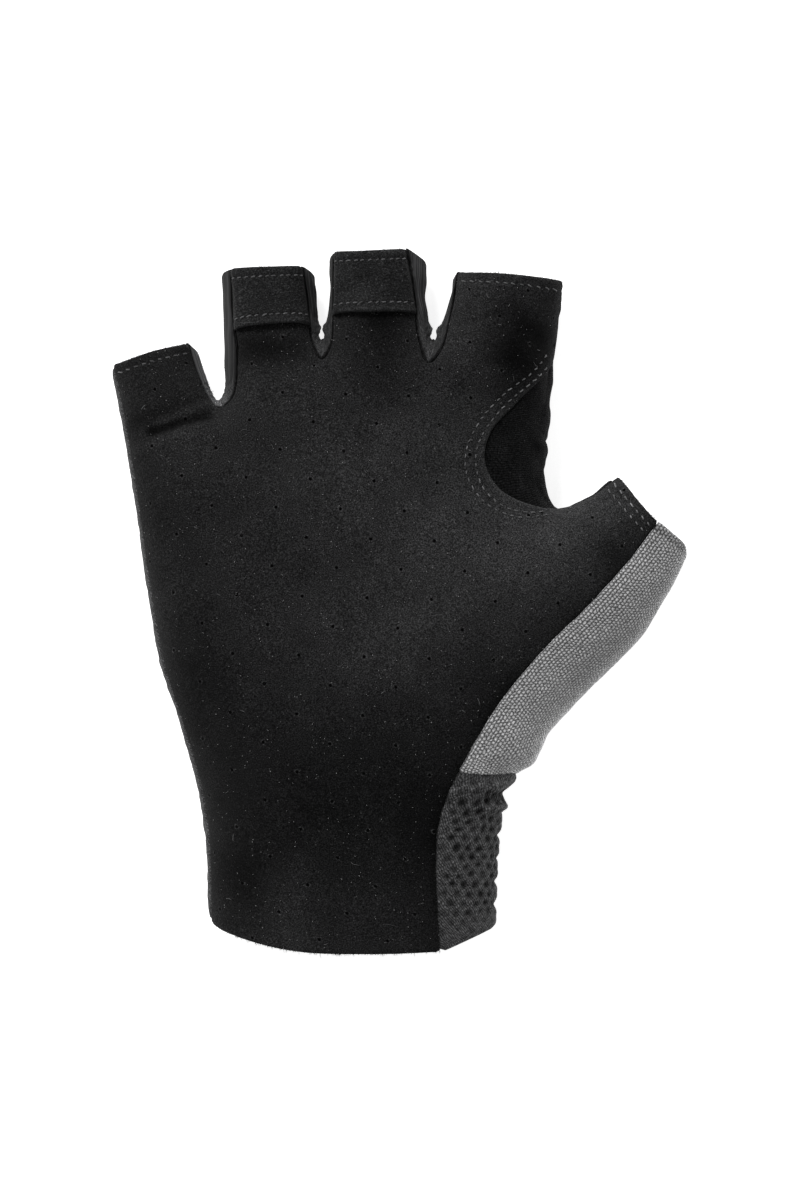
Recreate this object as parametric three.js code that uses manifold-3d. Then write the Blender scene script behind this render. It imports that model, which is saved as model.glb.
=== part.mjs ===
// Fingerless cycling glove for a right hand, lying on its back with the palm up.
// Millimetres: +X is the thumb side, +Y points to the fingers, +Z out of the palm.
//
// The glove is one rounded, hollow form. Seen from the palm it has an outline; from the outline the
// palm side rises and the back falls, each along a quarter of an ellipse, to two gentle faces. Every
// panel is a sheet on that form, bounded by its seams, with the wall thickness inwards.

import * as THREE from 'three';
import Module from 'manifold-3d';

const wasm = await Module();
wasm.setup();

// Driving dimensions
const WALL = { suede: 1.4, woven: 1.4, mesh: 2.0, stretch: 1.1 };
const SEAM_GAP = 0.55; // open groove between two sewn panels, along the surface
const SIDE_LINE = 0.45; // height of the outline, as a share of the local thickness
const BACK_SEAM_INSET = 3.2; // how far the strips reach under the glove
const RIM_REACH = 6.0; // how far the back panel's rolled rims reach under the glove
const BACK_HEM_LIFT = 2.2; // the back of each opening ends this much lower than the palm
const BACK_CUFF_BOW = 2.5; // the back's cuff edge bows down by this much in its middle
const TAB_SEAT = 0.12; // pull tab to palm panel, at the sewn sides
const TAB_LENGTH = 13.2; // along the finger
const TAB_END = 0.05; // share of the finger's width that each end of a tab keeps off its seam
const TAB_STAND_OFF = { top: 0.9, bottom: 1.9 }; // extra height of the pull tab's middle
const TAB_BOTTOM_BOW = 1.6; // the tab's lower edge arches up by this much

// Facet sizes
const LATTICE = 4.5; // inside the panels
const SEAM_STEP = 3.4; // along the seams
const SIDE_STEP = 1.0; // along the outline, for distances only
const LEAD_OUT = 22; // the sides run on this far past each opening
const NEAR = 0.05; // a point this near to the outline takes the outline's own normal
const RIM_KEEP_OFF = 2.0; // from a panel's edge to the lattice inside it
const TAB_FACETS = { along: 4, across: 8 };
const SWAP_PASSES = 40; // at most, when the facets are made rounder
const TINY = 1e-6;

// Thickness of the glove and the width over which its palm side and its back roll to the side line.
// Each row holds around its place: x, y, thickness, palm roll, back roll.
const FORM = [
  [-44, -78, 28.5, 25.0, 16.0], // cuff, little finger side
  [22, -78, 28.5, 25.0, 16.0], // cuff, thumb side
  [-11, -80, 31.0, 26.0, 18.0], // cuff, middle
  [-11, -50, 29.0, 26.0, 17.0], // wrist
  [-45, -20, 27.5, 20.0, 13.0], // heel, little finger side
  [15, -20, 31.0, 22.0, 13.0], // heel, thumb side
  [-20, 10, 27.0, 20.0, 12.0], // palm
  [-58, 22, 22.0, 13.0, 9.0], // side of the hand
  [10, 28, 25.5, 14.0, 10.0], // under the index finger
  [45, 2, 24.5, 12.0, 9.5], // root of the thumb
  [58, 20, 19.5, 11.2, 8.5], // opening of the thumb
  [-54, 41, 19.0, 9.8, 8.0], // root of the little finger
  [-57, 57, 15.5, 9.4, 7.2], // opening of the little finger
  [-30, 50, 21.5, 10.2, 8.5], // root of the ring finger
  [-31, 77, 16.5, 10.0, 7.5], // opening of the ring finger
  [-6, 52, 22.5, 10.4, 8.5], // root of the middle finger
  [-5, 80, 17.0, 10.4, 7.5], // opening of the middle finger
  [22, 50, 22.5, 11.2, 9.0], // root of the index finger
  [25, 75, 17.5, 11.4, 8.0], // opening of the index finger
];
const FORM_REACH = 11; // spread of a row's influence
const THUMB_WAY = [0.66, 0.75]; // the way that the thumb points

// Shallow hollows of the palm side: x, y, radius, depth.
const DENTS = [
  [30, 62, 8, 1.2], // index finger, beside the seam
  [-30, 57, 7, 0.9], // below the ring finger's tab
  [-6, 60, 7, 0.9], // below the middle finger's tab
  [-2, -46, 17, 1.4], // wrist
  [-16, 14, 22, 1.5], // middle of the palm
];

// Creases of the palm side: from x, y, to x, y, width, depth.
const CREASES = [
  [-61, 38, -43, 45, 3.0, 1.5], // root of the little finger
  [33, 14, 22, -12, 4.0, 0.8], // root of the thumb
];

// Sides of the glove between its openings. Each row is a place along the side, with the outline's
// x, y and then the palm panel's seam there, x, y.
const SIDES = {
  little: [
    [-43.9, -73.7, -43.2, -74.6],
    [-44.4, -58.5, -43.7, -58.4],
    [-46.5, -43.1, -45.8, -42.9],
    [-50.6, -28.4, -49.9, -28.2],
    [-55.2, -13.7, -54.5, -13.6],
    [-58.4, 5.2, -57.7, 5.3],
    [-61.9, 28.2, -61.1, 28.3],
    [-64.9, 45.2, -64.0, 45.3],
    [-66.7, 53.5, -65.6, 54.6],
  ],
  little_ring: [
    [-46.7, 57.4, -48.8, 59.0],
    [-44.9, 52.1, -46.6, 52.3],
    [-43.4, 48.4, -44.6, 47.4],
    [-41.9, 46.3, -41.7, 44.4],
    [-40.5, 48.4, -38.5, 46.6],
    [-40.4, 55.0, -37.3, 54.2],
    [-40.7, 65.0, -38.3, 65.0],
    [-41.2, 75.1, -38.9, 76.0],
  ],
  ring_middle: [
    [-19.8, 75.3, -22.5, 76.5],
    [-19.1, 69.1, -21.3, 69.2],
    [-18.7, 63.4, -20.3, 60.0],
    [-18.0, 60.6, -18.1, 55.2],
    [-17.2, 63.2, -15.8, 58.6],
    [-16.3, 67.6, -15.4, 66.6],
    [-16.3, 78.8, -15.2, 79.9],
  ],
  middle_index: [
    [6.2, 77.9, 1.4, 80.6],
    [6.0, 69.6, 3.3, 69.6],
    [6.7, 64.1, 4.3, 60.0],
    [7.7, 60.4, 6.4, 54.3],
    [9.1, 62.7, 9.4, 57.6],
    [11.2, 68.4, 12.0, 67.4],
    [12.4, 74.6, 13.2, 75.6],
  ],
  index_thumb: [
    [37.7, 72.1, 37.0, 73.3],
    [36.8, 65.4, 36.2, 65.4],
    [35.4, 55.3, 34.4, 53.6],
    [34.9, 46.1, 27.2, 45.6],
    [34.4, 38.1, 20.8, 38.6],
    [33.8, 31.4, 19.4, 32.0],
    [34.1, 25.2, 23.4, 25.2],
    [36.9, 21.2, 35.6, 20.4],
    [41.4, 22.5, 41.4, 21.6],
    [48.5, 27.7, 49.3, 28.0],
  ],
  thumb: [
    [66.7, 11.6, 59.1, 17.8],
    [62.0, 2.2, 52.6, 8.6],
    [54.8, -9.0, 43.6, -1.8],
    [45.2, -18.8, 34.6, -11.3],
    [37.6, -26.2, 26.0, -21.0],
    [33.0, -33.6, 20.2, -30.6],
    [25.9, -40.4, 15.0, -39.2],
  ],
  wrist: [
    [25.3, -41.0, 14.6, -39.8],
    [23.6, -49.3, 9.4, -49.3],
    [22.8, -59.7, 8.4, -59.0],
    [22.3, -70.0, 8.7, -70.0],
    [22.1, -75.1, 9.4, -80.2],
  ],
};

// The thumb panel's seam on the back, row for row with the thumb side: x, y.
const THUMB_BACK_SEAM = [
  [49.3, 23.8],
  [42.4, 19.0],
  [36.6, 17.4],
  [31.0, 3.0],
  [27.4, -14.0],
  [24.4, -26.0],
  [21.2, -37.6],
];

// Middle point of each opening's edge on the palm side, which bows slightly: x, y.
const OPENINGS = {
  little: [-57.4, 57.7],
  ring: [-30.8, 76.8],
  middle: [-6.9, 80.7],
  index: [25.3, 74.9],
  thumb: [55.0, 22.4],
  cuff: [-17.0, -80.4],
};

const COLOURS = {
  suede: 0x202022,
  woven: 0x7b7b7b,
  mesh: 0x303031,
  stretch: 0x28282a,
};

// Plane curves and distances

const plane = ([x, y]) => new THREE.Vector3(x, y, 0);

// A smooth line through the points, cut into even steps.
function smoothLine(points, step) {
  const curve = new THREE.CatmullRomCurve3(points, false, 'centripetal');
  return curve.getSpacedPoints(Math.max(2, Math.round(curve.getLength() / step)));
}

// The same number of points on two or more lines, so that they pair across a strip.
function pairedLines(lines, step) {
  const curves = lines.map((points) => new THREE.CatmullRomCurve3(points, false, 'centripetal'));
  const longest = Math.max(...curves.map((curve) => curve.getLength()));
  const count = Math.max(2, Math.round(longest / step));
  return curves.map((curve) => curve.getPoints(count));
}

// A line moved to its left, in the plane, by the given distance.
function shifted(line, distance) {
  return line.map((point, i) => {
    const along = new THREE.Vector3().subVectors(
      line[Math.min(i + 1, line.length - 1)],
      line[Math.max(i - 1, 0)]
    );
    along.normalize();
    return new THREE.Vector3(point.x - along.y * distance, point.y + along.x * distance, 0);
  });
}

const outlineOf = (side) => SIDES[side].map(([x, y]) => plane([x, y]));
const seamOf = (side) => SIDES[side].map(([, , x, y]) => plane([x, y]));

// The outline through the points, with straight leads past the openings at its two ends. The lead
// before it follows the given way, or else the line itself.
function longSide(points, wayOut) {
  const line = smoothLine(points, SIDE_STEP);
  const lead = (way, end) => way.clone().setLength(LEAD_OUT).add(end);
  const before = wayOut ?? new THREE.Vector3().subVectors(line[0], line[3]);
  const after = new THREE.Vector3().subVectors(line.at(-1), line.at(-4));
  return [lead(before, line[0]), ...line, lead(after, line.at(-1))];
}

const outlineEdges = [
  longSide(outlineOf('little')),
  longSide(outlineOf('little_ring')),
  longSide(outlineOf('ring_middle')),
  longSide(outlineOf('middle_index')),
  longSide(outlineOf('index_thumb')),
  longSide([...outlineOf('thumb'), ...outlineOf('wrist')], plane(THUMB_WAY)),
].flatMap((line) => line.slice(1).map((point, i) => [line[i], point]));

// The nearest point of the outline, how far it is, and the way into the glove there.
function footOf(x, y) {
  let best = { distance: Infinity };
  for (const [a, b] of outlineEdges) {
    const ex = b.x - a.x;
    const ey = b.y - a.y;
    const t = THREE.MathUtils.clamp(((x - a.x) * ex + (y - a.y) * ey) / (ex * ex + ey * ey), 0, 1);
    const foot = new THREE.Vector2(a.x + t * ex, a.y + t * ey);
    const distance = Math.hypot(x - foot.x, y - foot.y);
    if (distance < best.distance) {
      const inwards = new THREE.Vector2(ey, -ex);
      const away = new THREE.Vector2(x - foot.x, y - foot.y);
      if (distance > NEAR && away.dot(inwards) > 0) inwards.copy(away);
      best = { distance, foot, inwards: inwards.normalize() };
    }
  }
  return best;
}

// Thickness and roll widths at a place, blended from the rows of FORM by their nearness.
function formAt(x, y) {
  let total = 0;
  const sum = [0, 0, 0];
  for (const [rowX, rowY, ...values] of FORM) {
    const squared = ((x - rowX) ** 2 + (y - rowY) ** 2) / (2 * FORM_REACH ** 2);
    const weight = 1 / (1 + squared) ** 3;
    total += weight;
    values.forEach((value, i) => {
      sum[i] += weight * value;
    });
  }
  return { thickness: sum[0] / total, palmRoll: sum[1] / total, backRoll: sum[2] / total };
}

const quarterRise = (share) => Math.sqrt(1 - (1 - Math.min(share, 1)) ** 2);

// Depth of the dents and creases at a place on the palm side.
function hollowAt(x, y) {
  let depth = 0;
  for (const [dentX, dentY, radius, deep] of DENTS) {
    depth += deep * Math.exp(-((x - dentX) ** 2 + (y - dentY) ** 2) / radius ** 2);
  }
  for (const [x0, y0, x1, y1, width, deep] of CREASES) {
    const ex = x1 - x0;
    const ey = y1 - y0;
    const t = THREE.MathUtils.clamp(((x - x0) * ex + (y - y0) * ey) / (ex * ex + ey * ey), 0, 1);
    const away = Math.hypot(x - x0 - t * ex, y - y0 - t * ey);
    depth += deep * Math.exp(-((away / width) ** 2));
  }
  return depth;
}

// A point of the glove's outer face and the way out of it there. With t the share of the roll's
// width, the height rises as sqrt(1 - (1 - t)^2), so the normal leans out by (1 - t) to that.
function palmPoint(x, y, lift = 0) {
  const { distance, foot, inwards } = footOf(x, y);
  const { thickness } = formAt(x, y);
  const { palmRoll } = formAt(foot.x, foot.y);
  const share = Math.min(distance / palmRoll, 1);
  const rise = quarterRise(share);
  const side = SIDE_LINE * thickness;
  const lean = ((thickness - side) / palmRoll) * (1 - share);
  const outwards = new THREE.Vector3(-inwards.x * lean, -inwards.y * lean, rise).normalize();
  const point = new THREE.Vector3(x, y, side + (thickness - side - hollowAt(x, y)) * rise);
  return { point: point.addScaledVector(outwards, lift), outwards };
}

function backPoint(x, y) {
  const { distance, foot, inwards } = footOf(x, y);
  const { backRoll } = formAt(foot.x, foot.y);
  const share = Math.min(distance / backRoll, 1);
  const fall = quarterRise(share);
  const side = SIDE_LINE * formAt(x, y).thickness;
  const lean = (side / backRoll) * (1 - share);
  const outwards = new THREE.Vector3(-inwards.x * lean, -inwards.y * lean, -fall).normalize();
  return { point: new THREE.Vector3(x, y, side * (1 - fall)), outwards };
}

// Sheets

// The directed edges that only one triangle has.
function openEdges(triangles) {
  const open = new Map();
  for (let i = 0; i < triangles.length; i += 3) {
    const [a, b, c] = triangles.slice(i, i + 3);
    for (const [from, to] of [[a, b], [b, c], [c, a]]) {
      if (!open.delete(`${to},${from}`)) open.set(`${from},${to}`, [from, to]);
    }
  }
  return [...open.values()];
}

// One sheet from several that share the points along their common edges.
function joined(sheets) {
  const points = [];
  const triangles = [];
  const known = new Map();
  for (const sheet of sheets) {
    const place = sheet.points.map((at) => {
      const key = at.point.toArray().map((value) => value.toFixed(3)).join();
      if (!known.has(key)) known.set(key, points.push(at) - 1);
      return known.get(key);
    });
    triangles.push(...sheet.triangles.map((i) => place[i]));
  }
  return { points, triangles };
}

// A closed body: the outer sheet, its copy moved inwards by the wall, and walls round its edge.
function thicken({ points, triangles }, wall) {
  const count = points.length;
  const outer = points.flatMap(({ point }) => point.toArray());
  const inner = points.flatMap(({ point, outwards }) =>
    point.clone().addScaledVector(outwards, -wall).toArray()
  );
  const index = [...triangles];
  for (let i = 0; i < triangles.length; i += 3) {
    const [a, b, c] = triangles.slice(i, i + 3);
    index.push(a + count, c + count, b + count);
  }
  for (const [from, to] of openEdges(triangles)) {
    index.push(from, from + count, to + count, from, to + count, to);
  }
  return solid([...outer, ...inner], index);
}

function solid(vertices, index) {
  return new wasm.Manifold(
    new wasm.Mesh({
      numProp: 3,
      vertProperties: new Float32Array(vertices),
      triVerts: new Uint32Array(index),
    })
  );
}

function geometryOf(manifold) {
  const { numProp, vertProperties, triVerts } = manifold.getMesh();
  const positions = new Float32Array((vertProperties.length / numProp) * 3);
  for (let i = 0; i < positions.length / 3; i += 1) {
    positions.set(vertProperties.subarray(i * numProp, i * numProp + 3), i * 3);
  }
  const geometry = new THREE.BufferGeometry();
  geometry.setAttribute('position', new THREE.BufferAttribute(positions, 3));
  geometry.setIndex(new THREE.BufferAttribute(new Uint32Array(triVerts), 1));
  return geometry;
}

function insideLoop(x, y, loop) {
  let inside = false;
  for (let i = 0, j = loop.length - 1; i < loop.length; j = i, i += 1) {
    const a = loop[i];
    const b = loop[j];
    if (a.y > y !== b.y > y && x < a.x + ((y - a.y) / (b.y - a.y)) * (b.x - a.x)) inside = !inside;
  }
  return inside;
}

function distanceToLoop(x, y, loop) {
  let best = Infinity;
  loop.forEach((a, i) => {
    const b = loop[(i + 1) % loop.length];
    const ex = b.x - a.x;
    const ey = b.y - a.y;
    const t = THREE.MathUtils.clamp(((x - a.x) * ex + (y - a.y) * ey) / (ex * ex + ey * ey), 0, 1);
    best = Math.min(best, Math.hypot(x - a.x - t * ex, y - a.y - t * ey));
  });
  return best;
}

// Cells of an even lattice whose corners all lie well inside the loop.
function latticeCells(loop) {
  const box = new THREE.Box3().setFromPoints(loop);
  const columns = Math.ceil((box.max.x - box.min.x) / LATTICE);
  const rows = Math.ceil((box.max.y - box.min.y) / LATTICE);
  const place = (i, j) => [box.min.x + i * LATTICE, box.min.y + j * LATTICE];
  const within = (i, j) => {
    const [x, y] = place(i, j);
    return insideLoop(x, y, loop) && distanceToLoop(x, y, loop) > RIM_KEEP_OFF;
  };
  const good = new Set();
  for (let i = 0; i <= columns; i += 1) {
    for (let j = 0; j <= rows; j += 1) if (within(i, j)) good.add(`${i},${j}`);
  }
  const cells = new Set();
  for (let i = 0; i < columns; i += 1) {
    for (let j = 0; j < rows; j += 1) {
      const corners = [[i, j], [i + 1, j], [i + 1, j + 1], [i, j + 1]];
      if (corners.every(([a, b]) => good.has(`${a},${b}`))) cells.add(`${i},${j}`);
    }
  }
  // Two cells that touch at a corner alone would pinch the ring round them, so one of them goes.
  for (const cell of [...cells]) {
    const [i, j] = cell.split(',').map(Number);
    for (const [di, dj] of [[1, 1], [1, -1]]) {
      const across = cells.has(`${i + di},${j + dj}`);
      const beside = cells.has(`${i + di},${j}`) || cells.has(`${i},${j + dj}`);
      if (across && !beside) cells.delete(cell);
    }
  }
  return { cells, place };
}

// Swaps the diagonals of neighbouring triangles until none could be rounder, pass by pass.
function rounded(flat, triangles) {
  const turn = (a, b, c) =>
    (flat[b][0] - flat[a][0]) * (flat[c][1] - flat[a][1]) -
    (flat[b][1] - flat[a][1]) * (flat[c][0] - flat[a][0]);
  const angle = (a, at, b) => {
    const ax = flat[a][0] - flat[at][0];
    const ay = flat[a][1] - flat[at][1];
    const bx = flat[b][0] - flat[at][0];
    const by = flat[b][1] - flat[at][1];
    return Math.abs(Math.atan2(ax * by - ay * bx, ax * bx + ay * by));
  };
  for (let pass = 0, swaps = 1; swaps && pass < SWAP_PASSES; pass += 1) {
    swaps = 0;
    const owner = new Map();
    const touched = new Set();
    for (let t = 0; t < triangles.length; t += 3) {
      for (let k = 0; k < 3; k += 1) {
        owner.set(`${triangles[t + k]},${triangles[t + ((k + 1) % 3)]}`, [t, (k + 2) % 3]);
      }
    }
    for (const [edge, [t, k]] of owner) {
      const [a, b] = edge.split(',').map(Number);
      const across = owner.get(`${b},${a}`);
      if (!across || touched.has(t) || touched.has(across[0])) continue;
      const c = triangles[t + k];
      const d = triangles[across[0] + across[1]];
      const convex = turn(c, a, d) > TINY && turn(d, b, c) > TINY;
      if (convex && angle(a, c, b) + angle(a, d, b) > Math.PI + TINY) {
        triangles.splice(t, 3, a, d, c);
        triangles.splice(across[0], 3, d, b, c);
        touched.add(t);
        touched.add(across[0]);
        swaps += 1;
      }
    }
  }
}

// A panel bounded by a loop in the plane: a lattice inside, and a ring of triangles out to the loop.
function panelSheet(loop, surface, facesUp) {
  if (THREE.ShapeUtils.isClockWise(loop)) loop.reverse();
  const { cells, place } = latticeCells(loop);
  const flat = loop.map((p) => [p.x, p.y]);
  const triangles = [];
  const corner = new Map();
  const cornerAt = (i, j) => {
    const key = `${i},${j}`;
    if (!corner.has(key)) {
      corner.set(key, flat.length);
      flat.push(place(i, j));
    }
    return corner.get(key);
  };
  for (const cell of cells) {
    const [i, j] = cell.split(',').map(Number);
    const [a, b, c, d] = [[i, j], [i + 1, j], [i + 1, j + 1], [i, j + 1]].map((at) => cornerAt(...at));
    if ((i + j) % 2) triangles.push(a, b, c, a, c, d);
    else triangles.push(a, b, d, b, c, d);
  }
  const next = new Map(openEdges(triangles));
  const holes = [];
  while (next.size) {
    const hole = [];
    for (let [at] = next.keys(); next.has(at); ) {
      hole.push(at);
      const following = next.get(at);
      next.delete(at);
      at = following;
    }
    holes.push(hole);
  }
  const at = (i) => new THREE.Vector2(...flat[i]);
  const order = [...loop.keys(), ...holes.flat()];
  const ring = THREE.ShapeUtils.triangulateShape(
    loop.map((_, i) => at(i)),
    holes.map((hole) => hole.map(at))
  );
  for (const [a, b, c] of ring) triangles.push(order[a], order[b], order[c]);
  rounded(flat, triangles);
  const points = flat.map(([x, y]) => surface(x, y));
  return { points, triangles: facesUp ? triangles : triangles.reverse() };
}

// Shares of the way from a seam to the outline that keep steps even as the surface turns down.
const turningShares = (count) =>
  Array.from({ length: count + 1 }, (_, i) => Math.sin((i / count) * (Math.PI / 2)));

// A strip that wraps over the outline, from a line on the palm side to a line on the back.
function strip(palmLine, sideLine, backLine, steps) {
  const points = [];
  palmLine.forEach((palm, i) => {
    const side = sideLine[i];
    for (const share of turningShares(steps.palm)) {
      const at = new THREE.Vector3().lerpVectors(palm, side, share);
      points.push(palmPoint(at.x, at.y));
    }
    for (const share of turningShares(steps.back).reverse().slice(1)) {
      const at = new THREE.Vector3().lerpVectors(backLine[i], side, share);
      points.push(backPoint(at.x, at.y));
    }
  });
  const across = steps.palm + steps.back + 1;
  const triangles = [];
  for (let i = 0; i + 1 < palmLine.length; i += 1) {
    for (let j = 0; j + 1 < across; j += 1) {
      const a = i * across + j;
      triangles.push(a, a + across, a + across + 1, a, a + across + 1, a + 1);
    }
  }
  return { points, triangles };
}

// Seam lines

// Seams of a side: where the palm panel ends, the outline, and where the back panel begins.
// Sides run clockwise seen from the palm, so the glove lies on their right.
function seamLines(side, backInset) {
  const backSeam = SIDES[side].map(([x, y], row, rows) => {
    const before = rows[Math.max(row - 1, 0)];
    const after = rows[Math.min(row + 1, rows.length - 1)];
    const along = new THREE.Vector3(after[0] - before[0], after[1] - before[1], 0).normalize();
    const inwards = new THREE.Vector3(along.y, -along.x, 0);
    const point = plane([x, y]).addScaledVector(inwards, backInset);
    if (row === 0) point.addScaledVector(along, BACK_HEM_LIFT);
    if (row === rows.length - 1) point.addScaledVector(along, -BACK_HEM_LIFT);
    return point;
  });
  return pairedLines([seamOf(side), outlineOf(side), backSeam], SEAM_STEP);
}

const seams = {
  little_ring: seamLines('little_ring', BACK_SEAM_INSET),
  ring_middle: seamLines('ring_middle', BACK_SEAM_INSET),
  middle_index: seamLines('middle_index', BACK_SEAM_INSET),
  index_thumb: seamLines('index_thumb', BACK_SEAM_INSET),
  little: seamLines('little', RIM_REACH),
  wrist: seamLines('wrist', RIM_REACH),
  thumb: pairedLines([seamOf('thumb'), outlineOf('thumb'), THUMB_BACK_SEAM.map(plane)], SEAM_STEP),
};
const HALF_GAP = SEAM_GAP / 2;

// A strip between the palm panel and the back panel, clear of both by half a seam gap.
function sewnStrip(side, steps, wall) {
  const [palm, outline, back] = seams[side];
  return thicken(strip(shifted(palm, HALF_GAP), outline, shifted(back, HALF_GAP), steps), wall);
}

// An opening's edge between two corners, bowed through its middle point.
function openingEdge(from, middle, to) {
  return smoothLine([from, middle, to], LATTICE).slice(1, -1);
}

const palmCorner = (side, end) => seams[side][0].at(end);
const backCorner = (side, end) => seams[side][2].at(end);
const hemOf = (opening) => plane(OPENINGS[opening]);
const between = (a, b) => new THREE.Vector3().lerpVectors(a, b, 0.5);

function palmPanel() {
  const run = ['little', 'little_ring', 'ring_middle', 'middle_index', 'index_thumb'];
  const hems = ['little', 'ring', 'middle', 'index', 'thumb'];
  const loop = [];
  run.forEach((side, i) => {
    const next = run[i + 1] ?? 'thumb';
    loop.push(...shifted(seams[side][0], -HALF_GAP));
    loop.push(...openingEdge(palmCorner(side, -1), hemOf(hems[i]), palmCorner(next, 0)));
  });
  loop.push(...shifted([...seams.thumb[0], ...seams.wrist[0]], -HALF_GAP));
  loop.push(...openingEdge(palmCorner('wrist', -1), hemOf('cuff'), palmCorner('little', 0)));
  return thicken(panelSheet(loop, palmPoint, true), WALL.suede);
}

function backPanel() {
  const run = ['little', 'little_ring', 'ring_middle', 'middle_index', 'index_thumb'];
  const loop = [];
  run.slice(0, -1).forEach((side, i) => {
    const inset = side === 'little' ? 0 : -HALF_GAP;
    const from = backCorner(side, -1);
    const to = backCorner(run[i + 1], 0);
    loop.push(...shifted(seams[side][2], inset));
    loop.push(...openingEdge(from, between(from, to), to));
  });
  const web = THUMB_BACK_SEAM[2][0];
  const crotch = seams.index_thumb[2];
  const crotchEnd = crotch.findIndex((p) => p.x > web);
  loop.push(...shifted(crotch, -HALF_GAP).slice(0, crotchEnd));
  const thumb = seams.thumb[2];
  const thumbStart = thumb.findIndex((p) => p.x < web + NEAR);
  loop.push(...shifted(thumb, -HALF_GAP).slice(thumbStart));
  loop.push(...seams.wrist[2]);
  const cuffFrom = backCorner('wrist', -1);
  const cuffTo = backCorner('little', 0);
  const bow = between(cuffFrom, cuffTo).add(plane([0, -BACK_CUFF_BOW]));
  loop.push(...openingEdge(cuffFrom, bow, cuffTo));
  const rims = [rim('little'), rim('wrist')];
  return thicken(joined([panelSheet(loop, backPoint, false), ...rims]), WALL.mesh);
}

// The back panel's edge that rolls over the outline to the palm panel.
function rim(side) {
  const [palm, outline, back] = seams[side];
  return strip(shifted(palm, HALF_GAP), outline, back, { palm: 3, back: 4 });
}

// A band across a finger that stands off the palm panel between its sewn ends: pulled to take the
// glove off. It hugs the palm panel at both ends, and its lower edge stands off the most.
function pullTab(leftSide, rightSide, hem) {
  const { along, across } = TAB_FACETS;
  const left = [...seams[leftSide][0]].reverse();
  const right = seams[rightSide][0];
  const topBow = hemOf(hem).y - between(left[0], right[0]).y;
  const points = [];
  for (let i = 0; i <= along; i += 1) {
    const share = i / along;
    const from = pointAlong(left, share * TAB_LENGTH);
    const to = pointAlong(right, share * TAB_LENGTH);
    const standOff = THREE.MathUtils.lerp(TAB_STAND_OFF.top, TAB_STAND_OFF.bottom, share);
    for (let j = 0; j <= across; j += 1) {
      const t = THREE.MathUtils.lerp(TAB_END, 1 - TAB_END, j / across);
      const bow = 4 * t * (1 - t);
      const at = new THREE.Vector3().lerpVectors(from, to, t);
      at.y += bow * THREE.MathUtils.lerp(topBow, TAB_BOTTOM_BOW, share);
      points.push(palmPoint(at.x, at.y, TAB_SEAT + WALL.suede + standOff * bow));
    }
  }
  const triangles = [];
  for (let i = 0; i < along; i += 1) {
    for (let j = 0; j < across; j += 1) {
      const a = i * (across + 1) + j;
      const b = a + across + 1;
      triangles.push(a, b, b + 1, a, b + 1, a + 1);
    }
  }
  return thicken({ points, triangles }, WALL.suede);
}

// The point of a line at a distance from its start.
function pointAlong(line, distance) {
  let left = distance;
  for (let i = 0; i + 1 < line.length; i += 1) {
    const step = line[i].distanceTo(line[i + 1]);
    if (left <= step) return new THREE.Vector3().lerpVectors(line[i], line[i + 1], left / step);
    left -= step;
  }
  return line.at(-1);
}

// Assembly

const glove = new THREE.Group();

function addPanel(name, manifold, cloth, roughness) {
  const material = new THREE.MeshStandardMaterial({
    color: COLOURS[cloth],
    roughness,
    metalness: 0,
  });
  const mesh = new THREE.Mesh(geometryOf(manifold), material);
  mesh.name = name;
  glove.add(mesh);
}

addPanel('palm_panel', palmPanel(), 'suede', 0.95);
addPanel('back_panel', backPanel(), 'mesh', 0.85);
addPanel('thumb_panel', sewnStrip('thumb', { palm: 4, back: 5 }, WALL.woven), 'woven', 0.9);
addPanel('crotch_panel', sewnStrip('index_thumb', { palm: 3, back: 2 }, WALL.stretch), 'stretch', 0.9);
for (const side of ['little_ring', 'ring_middle', 'middle_index']) {
  addPanel(`fourchette_${side}`, sewnStrip(side, { palm: 2, back: 3 }, WALL.stretch), 'stretch', 0.8);
}
addPanel('pull_tab_ring', pullTab('little_ring', 'ring_middle', 'ring'), 'suede', 0.95);
addPanel('pull_tab_middle', pullTab('ring_middle', 'middle_index', 'middle'), 'suede', 0.95);

export default glove;
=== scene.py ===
"""Fingerless cycling glove, palm up: its cloth, seams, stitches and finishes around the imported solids.

The glove is one rounded, hollow form. Seen from the palm it has an outline; from the outline the
palm side rises and the back falls, each along a quarter of an ellipse, to two gentle faces. Every
panel is a sheet of cloth on that form, with a relief of its own, a wall and rounded edges.
The classes hold millimetres, and the meshes are written in metres.
"""

import logging
import math
from collections.abc import Callable, Sequence
from dataclasses import dataclass, field
from enum import Enum
from typing import ClassVar

import bpy
import numpy as np
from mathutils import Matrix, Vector


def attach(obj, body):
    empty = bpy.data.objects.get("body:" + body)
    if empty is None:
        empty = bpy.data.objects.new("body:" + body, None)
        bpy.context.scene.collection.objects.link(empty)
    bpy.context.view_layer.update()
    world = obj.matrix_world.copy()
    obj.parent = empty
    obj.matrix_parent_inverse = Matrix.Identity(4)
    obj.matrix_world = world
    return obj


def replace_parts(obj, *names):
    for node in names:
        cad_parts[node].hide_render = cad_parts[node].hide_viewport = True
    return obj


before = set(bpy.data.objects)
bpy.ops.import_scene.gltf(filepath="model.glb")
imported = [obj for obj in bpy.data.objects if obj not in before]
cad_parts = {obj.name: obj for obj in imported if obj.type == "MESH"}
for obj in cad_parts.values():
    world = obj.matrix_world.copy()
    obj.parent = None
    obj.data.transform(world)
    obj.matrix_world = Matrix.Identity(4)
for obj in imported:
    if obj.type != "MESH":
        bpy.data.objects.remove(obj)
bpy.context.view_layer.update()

log = logging.getLogger("glove")
Array = np.ndarray
Colour = tuple[float, float, float]
Surface = Callable[[Array], tuple[Array, Array]]

MM = 0.001

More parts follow.
